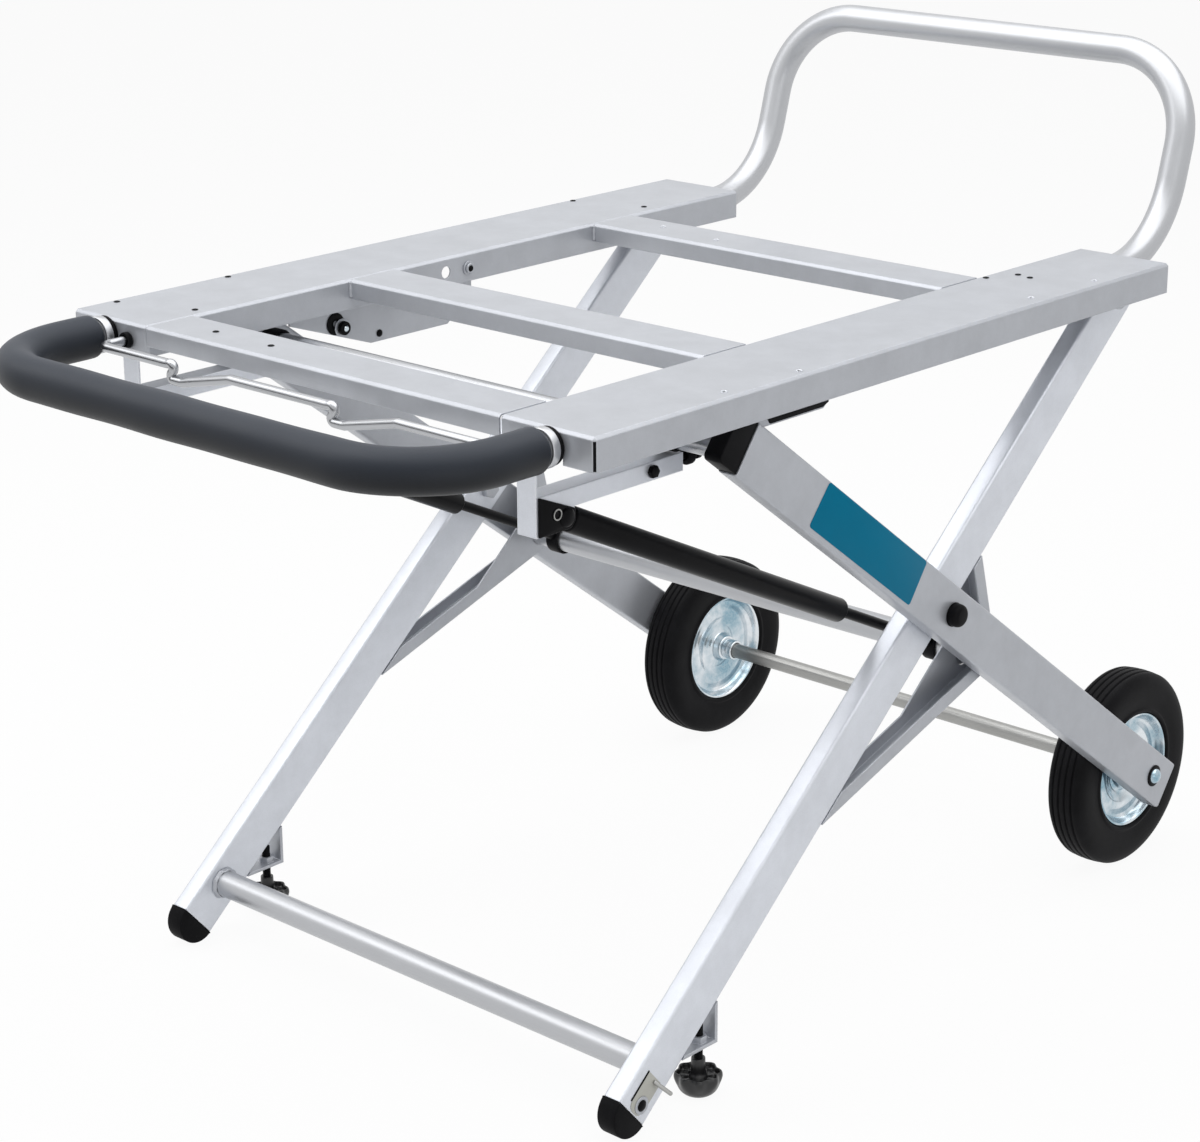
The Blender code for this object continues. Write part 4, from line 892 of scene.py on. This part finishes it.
def foot_legs():
    """The inner legs with their half-round caps, black plugs, gussets and the round bars between them."""
    dress([node + name for node in ("adjuster_bracket_", "gusset_") for name, _ in SIDES], "silver_paint")
    cap = arc((LEG_LENGTH, 0), LEG_DEPTH / 2, -90, 90, 36)
    cap = at(slab(cap, -0.010, 0.010, 0.0012), x=FOOT_LEG_X)
    plug = loop([(-0.0148, -0.021), (-0.0123, -0.021), (-0.0123, 0.021), (-0.0148, 0.021)], 0.0008, 2)
    plug = at(slab(plug, -0.009, 0.009, 0.0008), x=FOOT_LEG_X)
    # The foot legs get the lighter copy of the silver paint, a painted highlight.
    leg_tubes("foot_leg_tube", FOOT, LEG_DEPTH, -0.012, LEG_LENGTH - GAP, FOOT_LEG_X, "pale_paint",
              "foot_leg")
    FOOT.pair("foot_half_round", cap, "black_rubber", "foot_cap", sharp=40)
    foot_slots()
    FOOT.pair("foot_plug", plug, "black_plastic", "leg_top_plug")
    reach = FOOT_LEG_X - LEG_WIDTH / 2 - GAP
    bar = rod(TUBE_RADIUS, -reach, reach, 40)
    FOOT.piece("foot_bar", at(bar, FOOT_BAR_ALONG), "bright_tube", replaces="foot_crossbar")
    FOOT.piece("spring_bar", at(bar, *SPRING_EYE), "bright_tube", replaces="gusset_tube")
    outline = loop([(TUBE_RADIUS, 0), (0.0158, 0), (TUBE_RADIUS + 0.0006, 0.004), (TUBE_RADIUS, 0.004)],
                   0.0004, 3)
    turn = np.linspace(0, 2 * np.pi, 48, endpoint=False)
    bead = turned(outline, 48) * (1 + 0.03 * np.sin(9 * turn)[None, :, None] * (1, 1, 0))
    bead = at(bead * (1, 1, -1), FOOT_BAR_ALONG, 0, reach)
    FOOT.pair("foot_bar_weld", bead, "silver_paint", closed_rows=True)


def foot_slots():
    """The slot in each foot leg's outer face: its insert, shadow line, ring, bolt and leaning pin."""
    face = FOOT_LEG_X + LEG_WIDTH / 2
    insert = loop([(0.8555, -0.0098), (0.8555, 0.0115), (0.8912, 0.0115), (0.8912, -0.0098)],
                  (0.001, 0.001, 0.0085, 0.0085), 8)
    insert = at(slab(insert, 0, 0.0006, 0.0002, 2), x=face)
    FOOT.pair("slot_insert", insert, "slot_plate")
    shadow = loop([(0.8550, -0.0116), (0.8550, -0.0098), (0.8850, -0.0098), (0.8850, -0.0116)], 0.0006, 3)
    shadow = at(slab(shadow, 0, 0.0004, 0.0001, 2), x=face)
    FOOT.pair("slot_shadow", shadow, "black_rubber")
    spot = (0.8815, 0.0040)
    rim = at(washer(0.0082, 0.0050, 0.0008), *spot, face + 0.0006)
    FOOT.pair("slot_ring", rim, "silver_paint", closed_rows=True)
    FOOT.pair("foot_bolt", at(dome_head(0.0054, 0.0024), *spot, face + 0.0007), "black_enamel")
    low, high = np.array([(0.8590, 0.0020, face + 0.0004), (0.8590, 0.0187, face + 0.0110)])
    path = low + (high - low) * np.array([0, 0.04, 0.96, 1])[:, None]
    way = np.tile(unit(high - low), (4, 1))
    radii = np.array([0.0016, 0.0019, 0.0019, 0.0013])[:, None, None]
    pin = carried(path, way, radii * ring(1, 20)[None], (1, 0, 0))
    FOOT.pair("foot_pin", pin, "dull_steel")


def levelling_feet():
    """Black bowls on black threaded stems, with a ring of eight pits round a hub.

    A bowl's radius at each height is a share of the rim's, plus a cosine of eight turns that fades towards
    its floor. The dish inside sinks to a flat, and the pits are a second cosine of eight turns cut into it.
    """
    rim, flat_z, pit_depth, count = 0.0200, 0.0158, 0.0042, 8
    turn = np.linspace(0, 2 * np.pi, 192, endpoint=False)
    rows = smooth([(0.36, 0), (0.60, 0.0012), (0.80, 0.0044), (0.92, 0.0088), (0.99, 0.0135), (1.0, 0.0180),
                   (0.95, 0.0207), (0.89, 0.0198), (0.84, 0.0168), (0.79, flat_z)], 4)
    share, heights = rows.T
    lobes = 0.0012 * np.clip((heights - 0.008) / 0.008, 0, 1)
    outside = rim * share[:, None] + lobes[:, None] * np.cos(count * turn)
    flat_rows = 16
    flat = rim * np.linspace(0.78, 0.34, flat_rows)[:, None]
    band = np.sin(np.pi * np.linspace(0, 1, flat_rows)) ** 0.7
    pits = np.clip(0.5 + 0.9 * np.cos(count * turn), 0, 1)
    radius = np.concatenate([outside, np.broadcast_to(flat, (flat_rows, len(turn)))])
    height = np.concatenate([np.broadcast_to(heights[:, None], outside.shape),
                             flat_z - pit_depth * band[:, None] * pits])
    bowl = np.stack([radius * np.cos(turn), radius * np.sin(turn), height], -1)
    stem = threads(0.004, 0.0005, 0.00125, 0.0310, 0.066)
    hub = turned(smooth([(0.0090, 0.0150), (0.0078, 0.0175), (0.0064, 0.0215), (0.0062, 0.0330),
                         (0.0052, 0.0340), (0.0030, 0.0342)], 4), 40)
    for name, side in SIDES:
        body = "levelling_foot_" + name
        spot = (side * FOOT_LEG_X, STEM_Y + FRONT_Y, 0)
        piece("lobed_foot_" + name, bowl + spot, body, "glossy_plastic", "adjuster_foot_" + name, sharp=50)
        piece("threaded_stem_" + name, stem + spot, body, "black_enamel", sharp=60)
        piece("foot_hub_" + name, hub + spot, body, "glossy_plastic", sharp=50)


def crossing_bolts():
    """The bolts through both legs, with pale washers and black cap nuts outside."""
    inner = FOOT_LEG_X - LEG_WIDTH / 2 - GAP
    middle = FOOT_LEG_X + LEG_WIDTH / 2 + GAP
    outer = WHEEL_LEG_X + LEG_WIDTH / 2 + GAP
    shank = at(rod(0.006, inner, outer + 0.004), PIVOT_ALONG)
    head = at(turned([(0.0105, inner), (0.0105, inner - 0.005), (0.0095, inner - 0.006)], 6), PIVOT_ALONG)
    washers = (("outer", 0.0112, outer, 0.0011, "black_plastic"),
               ("middle", 0.014, middle, 0.0014, "silver_paint"))
    rows = smooth([(0.0105, 0), (0.0105, 0.0045), (0.0096, 0.0072), (0.0072, 0.0090), (0.0036, 0.0095)], 6)
    cap = at(turned(rows, 48), PIVOT_ALONG, 0, outer + 0.0012)
    FOOT.pair("crossing_shank", shank, "zinc_plate", "pivot_bolt")
    FOOT.pair("crossing_head", head, "silver_paint")
    for label, radius, low, thickness, look in washers:
        disc = at(washer(radius, 0.0061, thickness), PIVOT_ALONG, 0, low)
        FOOT.pair("crossing_washer_" + label, disc, look, closed_rows=True)
    FOOT.pair("crossing_cap", cap, "black_plastic", "pivot_cap")


# Wheel frame

def wheel_legs():
    """The outer legs with their end blocks, and the bright bar and its rollers between them."""
    half = WHEEL_LEG_DEPTH / 2 - 0.001
    face = -WHEEL_LEG_TOP - GAP
    end = face - 0.026
    nose = loop([(face, half), (end, half), (end, -half), (face, -half)], (0.0004, 0.005, 0.005, 0.0004), 6)
    nose = at(slab(nose, -0.009, 0.009, 0.001), x=WHEEL_LEG_X)
    leg_tubes("wheel_leg_tube", WHEEL, WHEEL_LEG_DEPTH, -WHEEL_LEG_TOP, WHEEL_LEG_TAIL, WHEEL_LEG_X,
              "silver_paint", "wheel_leg")
    WHEEL.pair("nose_block", nose, "black_plastic", "end_plug", sharp=40)
    reach = WHEEL_LEG_X + LEG_WIDTH / 2 - 0.002
    edge = reach - 0.0008
    bar = turned([(0.0084, -reach), (0.009, -edge), (0.009, edge), (0.0084, reach)], 36)
    WHEEL.piece("slide_rod", at(bar, *SLIDE), "chrome_wire", replaces="slide_bar")
    roller = at(sleeve(0.0093, ROLLER_RADIUS, 0.019, 0.0008, 44), *SLIDE, TRACK_X - 0.0095)
    WHEEL.pair("track_roller", roller, "black_plastic", "roller", closed_rows=True)


def bare_plate():
    """The plate on the right wheel leg's outer face, kept bare."""
    spots = ((.2889, .528), (.428, .4236), (.4036, .3893), (.2621, .4953))
    corners = [WHEEL.inside(*spot) for spot in spots]
    top = WHEEL_LEG_X + LEG_WIDTH / 2
    WHEEL.piece("bare_plate", slab(loop(corners, 0.003), top, top + 0.0004, 0.0002, 2), "teal_film")


def axle():
    """The axle, the collars inside the wheels, the bolts in its ends, and black rings round the bolts' heads
    that paint the shade of a recess.
    """
    reach = WHEEL_LEG_X + LEG_WIDTH / 2
    WHEEL.piece("axle_bar", at(rod(0.008, -reach, reach, 36), AXLE_ALONG), "dull_steel", replaces="axle")
    length = 0.013
    start = WHEEL_X - WHEEL_HALF - GAP - length
    collar = at(sleeve(HUB_BORE, 0.011, length, 0.001, 40), AXLE_ALONG, 0, start)
    # Painted shade: a black ring stands for the shaded recess round each bolt's head.
    shaded_ring = at(turned([(0.011, 0), (0.011, 0.0008), (0.0105, 0.0011)], 40), AXLE_ALONG, 0, reach)
    head = at(dome_head(0.0078, 0.0058), AXLE_ALONG, 0, reach + 0.001)
    WHEEL.pair("axle_sleeve", collar, "zinc_plate", "axle_collar", closed_rows=True)
    WHEEL.pair("axle_recess", shaded_ring, "black_plastic", "axle_bolt")
    WHEEL.pair("axle_dome", head, "zinc_plate")


def wheels():
    """Ribbed tyres and pressed hubs, the same on both faces.

    The tread's radius is the wheel's less a shallow parabola across it, less four grooves that are each the
    exponential of a fourth power.
    """
    face = smooth([(HUB_BORE, WHEEL_HALF), (0.0125, WHEEL_HALF), (0.0138, 0.0190), (0.0150, 0.0120),
                   (0.0185, 0.0095), (0.0225, 0.0086), (0.0262, 0.0074), (0.0310, 0.0088), (0.0366, 0.0112),
                   (0.0420, 0.0112), (0.0470, 0.0092), (0.0505, 0.0088), (0.0530, 0.0110), (0.0552, 0.0162),
                   (0.0566, 0.0188), (0.0582, 0.0190), (0.0590, 0.0176)], 4)
    wall = smooth([(0.0593, 0.0190), (0.0606, 0.0206), (0.0628, 0.0208), (0.0645, 0.0198),
                   (0.0680, 0.0200), (0.0760, 0.0209), (0.0840, 0.0210), (0.0900, 0.0202),
                   (0.0950, 0.0182), (0.0978, 0.0158)], 4)
    tread_half = 0.014
    h = np.linspace(tread_half, -tread_half, 85)
    grooves = sum(np.exp(-((h - middle) / 0.0011) ** 4) for middle in (-0.0105, -0.0035, 0.0035, 0.0105))
    crown = WHEEL_RADIUS - 0.0011 * (h / tread_half) ** 2
    tread = np.stack([crown - size("tread_depth") * grooves, h], -1)
    other_face = (1, -1)
    hub = at(turned(np.concatenate([face, (face * other_face)[::-1]]), 96), AXLE_ALONG, 0, WHEEL_X)
    tyre = at(turned(np.concatenate([wall, tread, (wall * other_face)[::-1]]), 144), AXLE_ALONG, 0, WHEEL_X)
    WHEEL.pair("pressed_hub", hub, "zinc_plate", "hub", "wheel", closed_rows=True, sharp=50)
    WHEEL.pair("ribbed_tyre", tyre, "tyre_rubber", "tyre", "wheel", closed_rows=True, sharp=50)


def gas_springs():
    """Black cylinders with a crimped mouth, and rods that end in an eye round the cross tube.

    The crimp draws the cylinder's radius in by a bell curve along it.
    """
    barrel_end = SPRING_LENGTH - 0.0135
    mouth, neck = 0.166, 0.006
    rows = rounded([(0.0056, mouth), (0.011, mouth), (0.011, barrel_end), (neck, barrel_end),
                    (neck, SPRING_LENGTH - 0.006)], (0.0018, 0.0018, 0.001), 4)
    crimp = 0.0007 * np.exp(-((rows[:, 1] - 0.174) / 0.0016) ** 2)
    rows = rows - np.stack([crimp, np.zeros(len(crimp))], -1)
    barrel = at(turned(rows, 44, axis=0), x=TRACK_X)
    piston = at(rod(0.005, 0.0145, 0.171, axis=0), x=TRACK_X)
    eye_width = 0.0154
    low = TRACK_X - 0.0077
    front_eye = at(sleeve(0.0052, 0.0095, eye_width, 0.0012, 40), SPRING_LENGTH, 0, low)
    rear_eye = at(sleeve(0.0130, 0.0155, eye_width, 0.001, 48), 0, 0, low)
    SPRING.pair("spring_barrel", barrel, "black_enamel", "gas_cylinder", "spring_cylinder")
    SPRING.pair("spring_front_eye", front_eye, "black_plastic", body="spring_cylinder", closed_rows=True)
    SPRING.pair("spring_rod_round", piston, "black_enamel", "gas_rod", "spring_rod")
    SPRING.pair("spring_rear_eye", rear_eye, "black_plastic", body="spring_rod", closed_rows=True)


# Stage

SEEN_RAYS = ("Is Camera Ray", "Is Glossy Ray", "Is Transmission Ray")
PHOTO_WIDTH = 1200
FOCAL_PIXELS = 2936.9
SENSOR = 36


def aimed(name, data, right, up, back, spot):
    """An object of the stage with its three axes and its origin."""
    matrix = np.eye(4)
    matrix[:3, :3] = np.stack([right, up, back], -1)
    matrix[:3, 3] = spot
    item = linked(name, data)
    item.matrix_world = Matrix(matrix.tolist())
    return item


def photo_camera():
    """The photograph's camera: it looks along minus out, with a slight roll."""
    azimuth, elevation, roll = np.radians((42.755, 18.585, -0.344))
    level = math.cos(elevation)
    out = np.array([math.sin(azimuth) * level, -math.cos(azimuth) * level, math.sin(elevation)])
    right = np.array([math.cos(azimuth), math.sin(azimuth), 0])
    up = np.cross(out, right)
    rolled_right = math.cos(roll) * right + math.sin(roll) * up
    rolled_up = math.cos(roll) * up - math.sin(roll) * right
    lens = bpy.data.cameras.new("photo_camera")
    lens.sensor_fit = "HORIZONTAL"
    lens.sensor_width = SENSOR
    lens.lens = FOCAL_PIXELS / PHOTO_WIDTH * SENSOR
    spot = (1.7518, -1.5501 + FRONT_Y, 1.2340)
    bpy.context.scene.camera = aimed("photo_camera", lens, rolled_right, rolled_up, out, spot)


def soft_light(name, spot, aim, width, power):
    """A square lamp at a spot, turned towards another."""
    lamp = bpy.data.lights.new(name, "AREA")
    lamp.shape = "SQUARE"
    lamp.size = width
    lamp.energy = power
    back = unit(np.array(spot, float) - np.array(aim, float))
    right = unit(np.cross((0.0, 0.01, 1.0), back))
    aimed(name, lamp, right, np.cross(back, right), back, spot)


def pale_floor():
    """A wide floor that the camera and reflections see as near white, and that keeps its shadows."""
    look = Finish("pale_floor", "silver_paint")
    camera, glossy, clear = (look.add("LightPath", output=ray) for ray in SEEN_RAYS)
    paper = look.add("BsdfDiffuse", inputs={"Color": (0.9, 0.9, 0.9, 1)})
    glow = look.add("Emission", inputs={"Color": (1, 1, 1, 1), "Strength": 1})
    seen = (camera + glossy + clear) * 0.94
    surface = look.add("MixShader", inputs={0: seen, 1: paper, 2: glow})
    look.add("OutputMaterial", inputs={"Surface": surface})
    mesh = bpy.data.meshes.new("floor")
    far = 20
    mesh.from_pydata([(-far, -far, 0), (far, -far, 0), (far, far, 0), (-far, far, 0)], [], [(0, 1, 2, 3)])
    mesh.materials.append(look.material)
    linked("floor", mesh)


def plain_world():
    """An even grey that lights the object, seen as near white by the camera and in reflections."""
    lighting, seen_as = 0.28, 0.96
    world = bpy.data.worlds.new("studio")
    world.use_nodes = True
    bpy.context.scene.world = world
    tree = world.node_tree
    path = tree.nodes.new("ShaderNodeLightPath")
    seen = path.outputs[SEEN_RAYS[0]]
    for ray in SEEN_RAYS[1:]:
        either = tree.nodes.new("ShaderNodeMath")
        either.operation = "MAXIMUM"
        tree.links.new(seen, either.inputs[0])
        tree.links.new(path.outputs[ray], either.inputs[1])
        seen = either.outputs[0]
    mix = tree.nodes.new("ShaderNodeMix")
    mix.inputs[2].default_value = lighting
    mix.inputs[3].default_value = seen_as
    tree.links.new(seen, mix.inputs[0])
    shade = tree.nodes["Background"]
    shade.inputs["Color"].default_value = (1, 1, 1, 1)
    tree.links.new(mix.outputs[0], shade.inputs["Strength"])


def studio():
    """The three soft lamps, and colours shown as they are written."""
    soft_light("key_light", (-1.6, -1.4, 2.6), (0, 0, 0.4), 2.2, 28)
    soft_light("side_light", (2.2, -1.1, 0.35), (0, -0.1, 0.15), 1.4, 4)
    soft_light("top_light", (0.2, 0.2, 2.8), (0, 0, 0.5), 4.0, 74)
    bpy.context.scene.view_settings.view_transform = "Standard"


# Add-on

def length_property(name, description, default):
    return bpy.props.FloatProperty(name=name, description=description, default=default, unit="LENGTH")


class StandSizes(bpy.types.PropertyGroup):
    foam: length_property("Foam diameter", "Outside diameter of the grip's foam", 0.038)
    deck_screw: length_property("Deck screw", "Diameter of the deck's sunk screws", 0.006)
    tread_depth: length_property("Tread depth", "Depth of the tyre's grooves", 0.0018)


def shade_property(name, description, default):
    return bpy.props.FloatVectorProperty(
        name=name, description=description, default=default, size=3, subtype="COLOR", min=0, max=1)


class StandColours(bpy.types.PropertyGroup):
    paint: shade_property("Paint", "Silver paint of sheets and legs", (0.475, 0.493, 0.53))
    bare_metal: shade_property("Bare metal", "Drawn tubes and the bail wire", (0.50, 0.51, 0.53))
    steel: shade_property("Steel", "Bare steel of the axle and of the eyelets", (0.36, 0.36, 0.35))
    slot: shade_property("Slot plate", "Pale insert of the foot legs' slots", (0.48, 0.48, 0.44))
    zinc: shade_property("Zinc", "Pale part of the zinc plate", (0.76, 0.80, 0.83))
    zinc_blue: shade_property("Zinc blue", "Bluish part of the zinc plate", (0.20, 0.36, 0.45))
    plastic: shade_property("Black parts", "Moulded plastic, rubber and enamel", (0.006, 0.006, 0.007))
    tyre: shade_property("Tyre", "Tyre rubber", (0.006, 0.006, 0.007))
    foam: shade_property("Foam", "Foam of the front grip", (0.020, 0.025, 0.035))
    label: shade_property("Plate", "Bare plate on the right leg", (0.0, 0.185, 0.320))


class STAND_OT_deck_sheets(bpy.types.Operator):
    """Paint the deck's pressed sheets and what hangs under them"""
    bl_idname = "stand.deck_sheets"
    bl_label = "Deck sheets"

    def execute(self, context):
        deck_sheets()
        return {"FINISHED"}


class STAND_OT_deck_fasteners(bpy.types.Operator):
    """Add the deck's sunk screws, its corner seams and the black strips under its skirts that paint their
    shadow
    """
    bl_idname = "stand.deck_fasteners"
    bl_label = "Deck fasteners"

    def execute(self, context):
        deck_fasteners()
        return {"FINISHED"}


class STAND_OT_front_grip(bpy.types.Operator):
    """Build the front grip with its foam sleeve and collars"""
    bl_idname = "stand.front_grip"
    bl_label = "Front grip"

    def execute(self, context):
        front_grip()
        return {"FINISHED"}


class STAND_OT_rear_handle(bpy.types.Operator):
    """Build the rear handle's tube"""
    bl_idname = "stand.rear_handle"
    bl_label = "Rear handle"

    def execute(self, context):
        rear_handle()
        return {"FINISHED"}


class STAND_OT_release_bail(bpy.types.Operator):
    """Build the release bail and its bushings"""
    bl_idname = "stand.release_bail"
    bl_label = "Release bail"

    def execute(self, context):
        release_bail()
        return {"FINISHED"}


class STAND_OT_under_deck_fittings(bpy.types.Operator):
    """Build the hinge pins, stop bolts, spring forks, plate bolts and corner welds"""
    bl_idname = "stand.under_deck_fittings"
    bl_label = "Under-deck fittings"

    def execute(self, context):
        under_deck_fittings()
        return {"FINISHED"}


class STAND_OT_foot_legs(bpy.types.Operator):
    """Build the foot legs with their caps, plugs, slots and round bars, and paint the gussets"""
    bl_idname = "stand.foot_legs"
    bl_label = "Foot legs"

    def execute(self, context):
        foot_legs()
        return {"FINISHED"}


class STAND_OT_levelling_feet(bpy.types.Operator):
    """Build the levelling feet's bowls, hubs and threaded stems"""
    bl_idname = "stand.levelling_feet"
    bl_label = "Levelling feet"

    def execute(self, context):
        levelling_feet()
        return {"FINISHED"}


class STAND_OT_crossing_bolts(bpy.types.Operator):
    """Build the bolts, washers and cap nuts at the legs' crossing"""
    bl_idname = "stand.crossing_bolts"
    bl_label = "Crossing bolts"

    def execute(self, context):
        crossing_bolts()
        return {"FINISHED"}


class STAND_OT_wheel_legs(bpy.types.Operator):
    """Build the wheel legs, their plugs, the slide bar and its rollers"""
    bl_idname = "stand.wheel_legs"
    bl_label = "Wheel legs"

    def execute(self, context):
        wheel_legs()
        return {"FINISHED"}


class STAND_OT_bare_plate(bpy.types.Operator):
    """Lay the bare plate on the right wheel leg"""
    bl_idname = "stand.bare_plate"
    bl_label = "Bare plate"

    def execute(self, context):
        bare_plate()
        return {"FINISHED"}


class STAND_OT_axle(bpy.types.Operator):
    """Build the axle, its collars and end bolts"""
    bl_idname = "stand.axle"
    bl_label = "Axle"

    def execute(self, context):
        axle()
        return {"FINISHED"}


class STAND_OT_wheels(bpy.types.Operator):
    """Build the ribbed tyres and pressed hubs"""
    bl_idname = "stand.wheels"
    bl_label = "Wheels"

    def execute(self, context):
        wheels()
        return {"FINISHED"}


class STAND_OT_gas_springs(bpy.types.Operator):
    """Build the gas springs' cylinders, rods and eyes"""
    bl_idname = "stand.gas_springs"
    bl_label = "Gas springs"

    def execute(self, context):
        gas_springs()
        return {"FINISHED"}


class STAND_OT_stage(bpy.types.Operator):
    """Set up the floor, the world, the lamps and the camera"""
    bl_idname = "stand.stage"
    bl_label = "Stage"

    def execute(self, context):
        photo_camera()
        pale_floor()
        plain_world()
        studio()
        return {"FINISHED"}


OPERATORS = (
    STAND_OT_deck_sheets, STAND_OT_deck_fasteners, STAND_OT_front_grip, STAND_OT_rear_handle,
    STAND_OT_release_bail, STAND_OT_under_deck_fittings, STAND_OT_foot_legs, STAND_OT_levelling_feet,
    STAND_OT_crossing_bolts, STAND_OT_wheel_legs, STAND_OT_bare_plate, STAND_OT_axle, STAND_OT_wheels,
    STAND_OT_gas_springs, STAND_OT_stage,
)


class STAND_PT_builder(bpy.types.Panel):
    """Lists the stand's sizes, colours and building steps"""
    bl_idname = "STAND_PT_builder"
    bl_label = "Table saw stand"
    bl_space_type = "VIEW_3D"
    bl_region_type = "UI"
    bl_category = "Stand"

    def draw(self, context):
        column = self.layout.column()
        for group in (context.scene.stand_sizes, context.scene.stand_colours):
            for name in group.__annotations__:
                column.prop(group, name)
        for kind in OPERATORS:
            column.operator(kind.bl_idname)


def register():
    for kind in (StandSizes, StandColours, *OPERATORS, STAND_PT_builder):
        bpy.utils.register_class(kind)
    bpy.types.Scene.stand_sizes = bpy.props.PointerProperty(type=StandSizes)
    bpy.types.Scene.stand_colours = bpy.props.PointerProperty(type=StandColours)


def unregister():
    del bpy.types.Scene.stand_sizes
    del bpy.types.Scene.stand_colours
    for kind in (STAND_PT_builder, *OPERATORS, StandColours, StandSizes):
        bpy.utils.unregister_class(kind)


def main():
    """Builds the stand and its stage."""
    register()
    bpy.ops.stand.deck_sheets()
    bpy.ops.stand.deck_fasteners()
    bpy.ops.stand.front_grip()
    bpy.ops.stand.rear_handle()
    bpy.ops.stand.release_bail()
    bpy.ops.stand.under_deck_fittings()
    bpy.ops.stand.foot_legs()
    bpy.ops.stand.levelling_feet()
    bpy.ops.stand.crossing_bolts()
    bpy.ops.stand.wheel_legs()
    bpy.ops.stand.bare_plate()
    bpy.ops.stand.axle()
    bpy.ops.stand.wheels()
    bpy.ops.stand.gas_springs()
    bpy.ops.stand.stage()


if __name__ == "__main__":
    main()
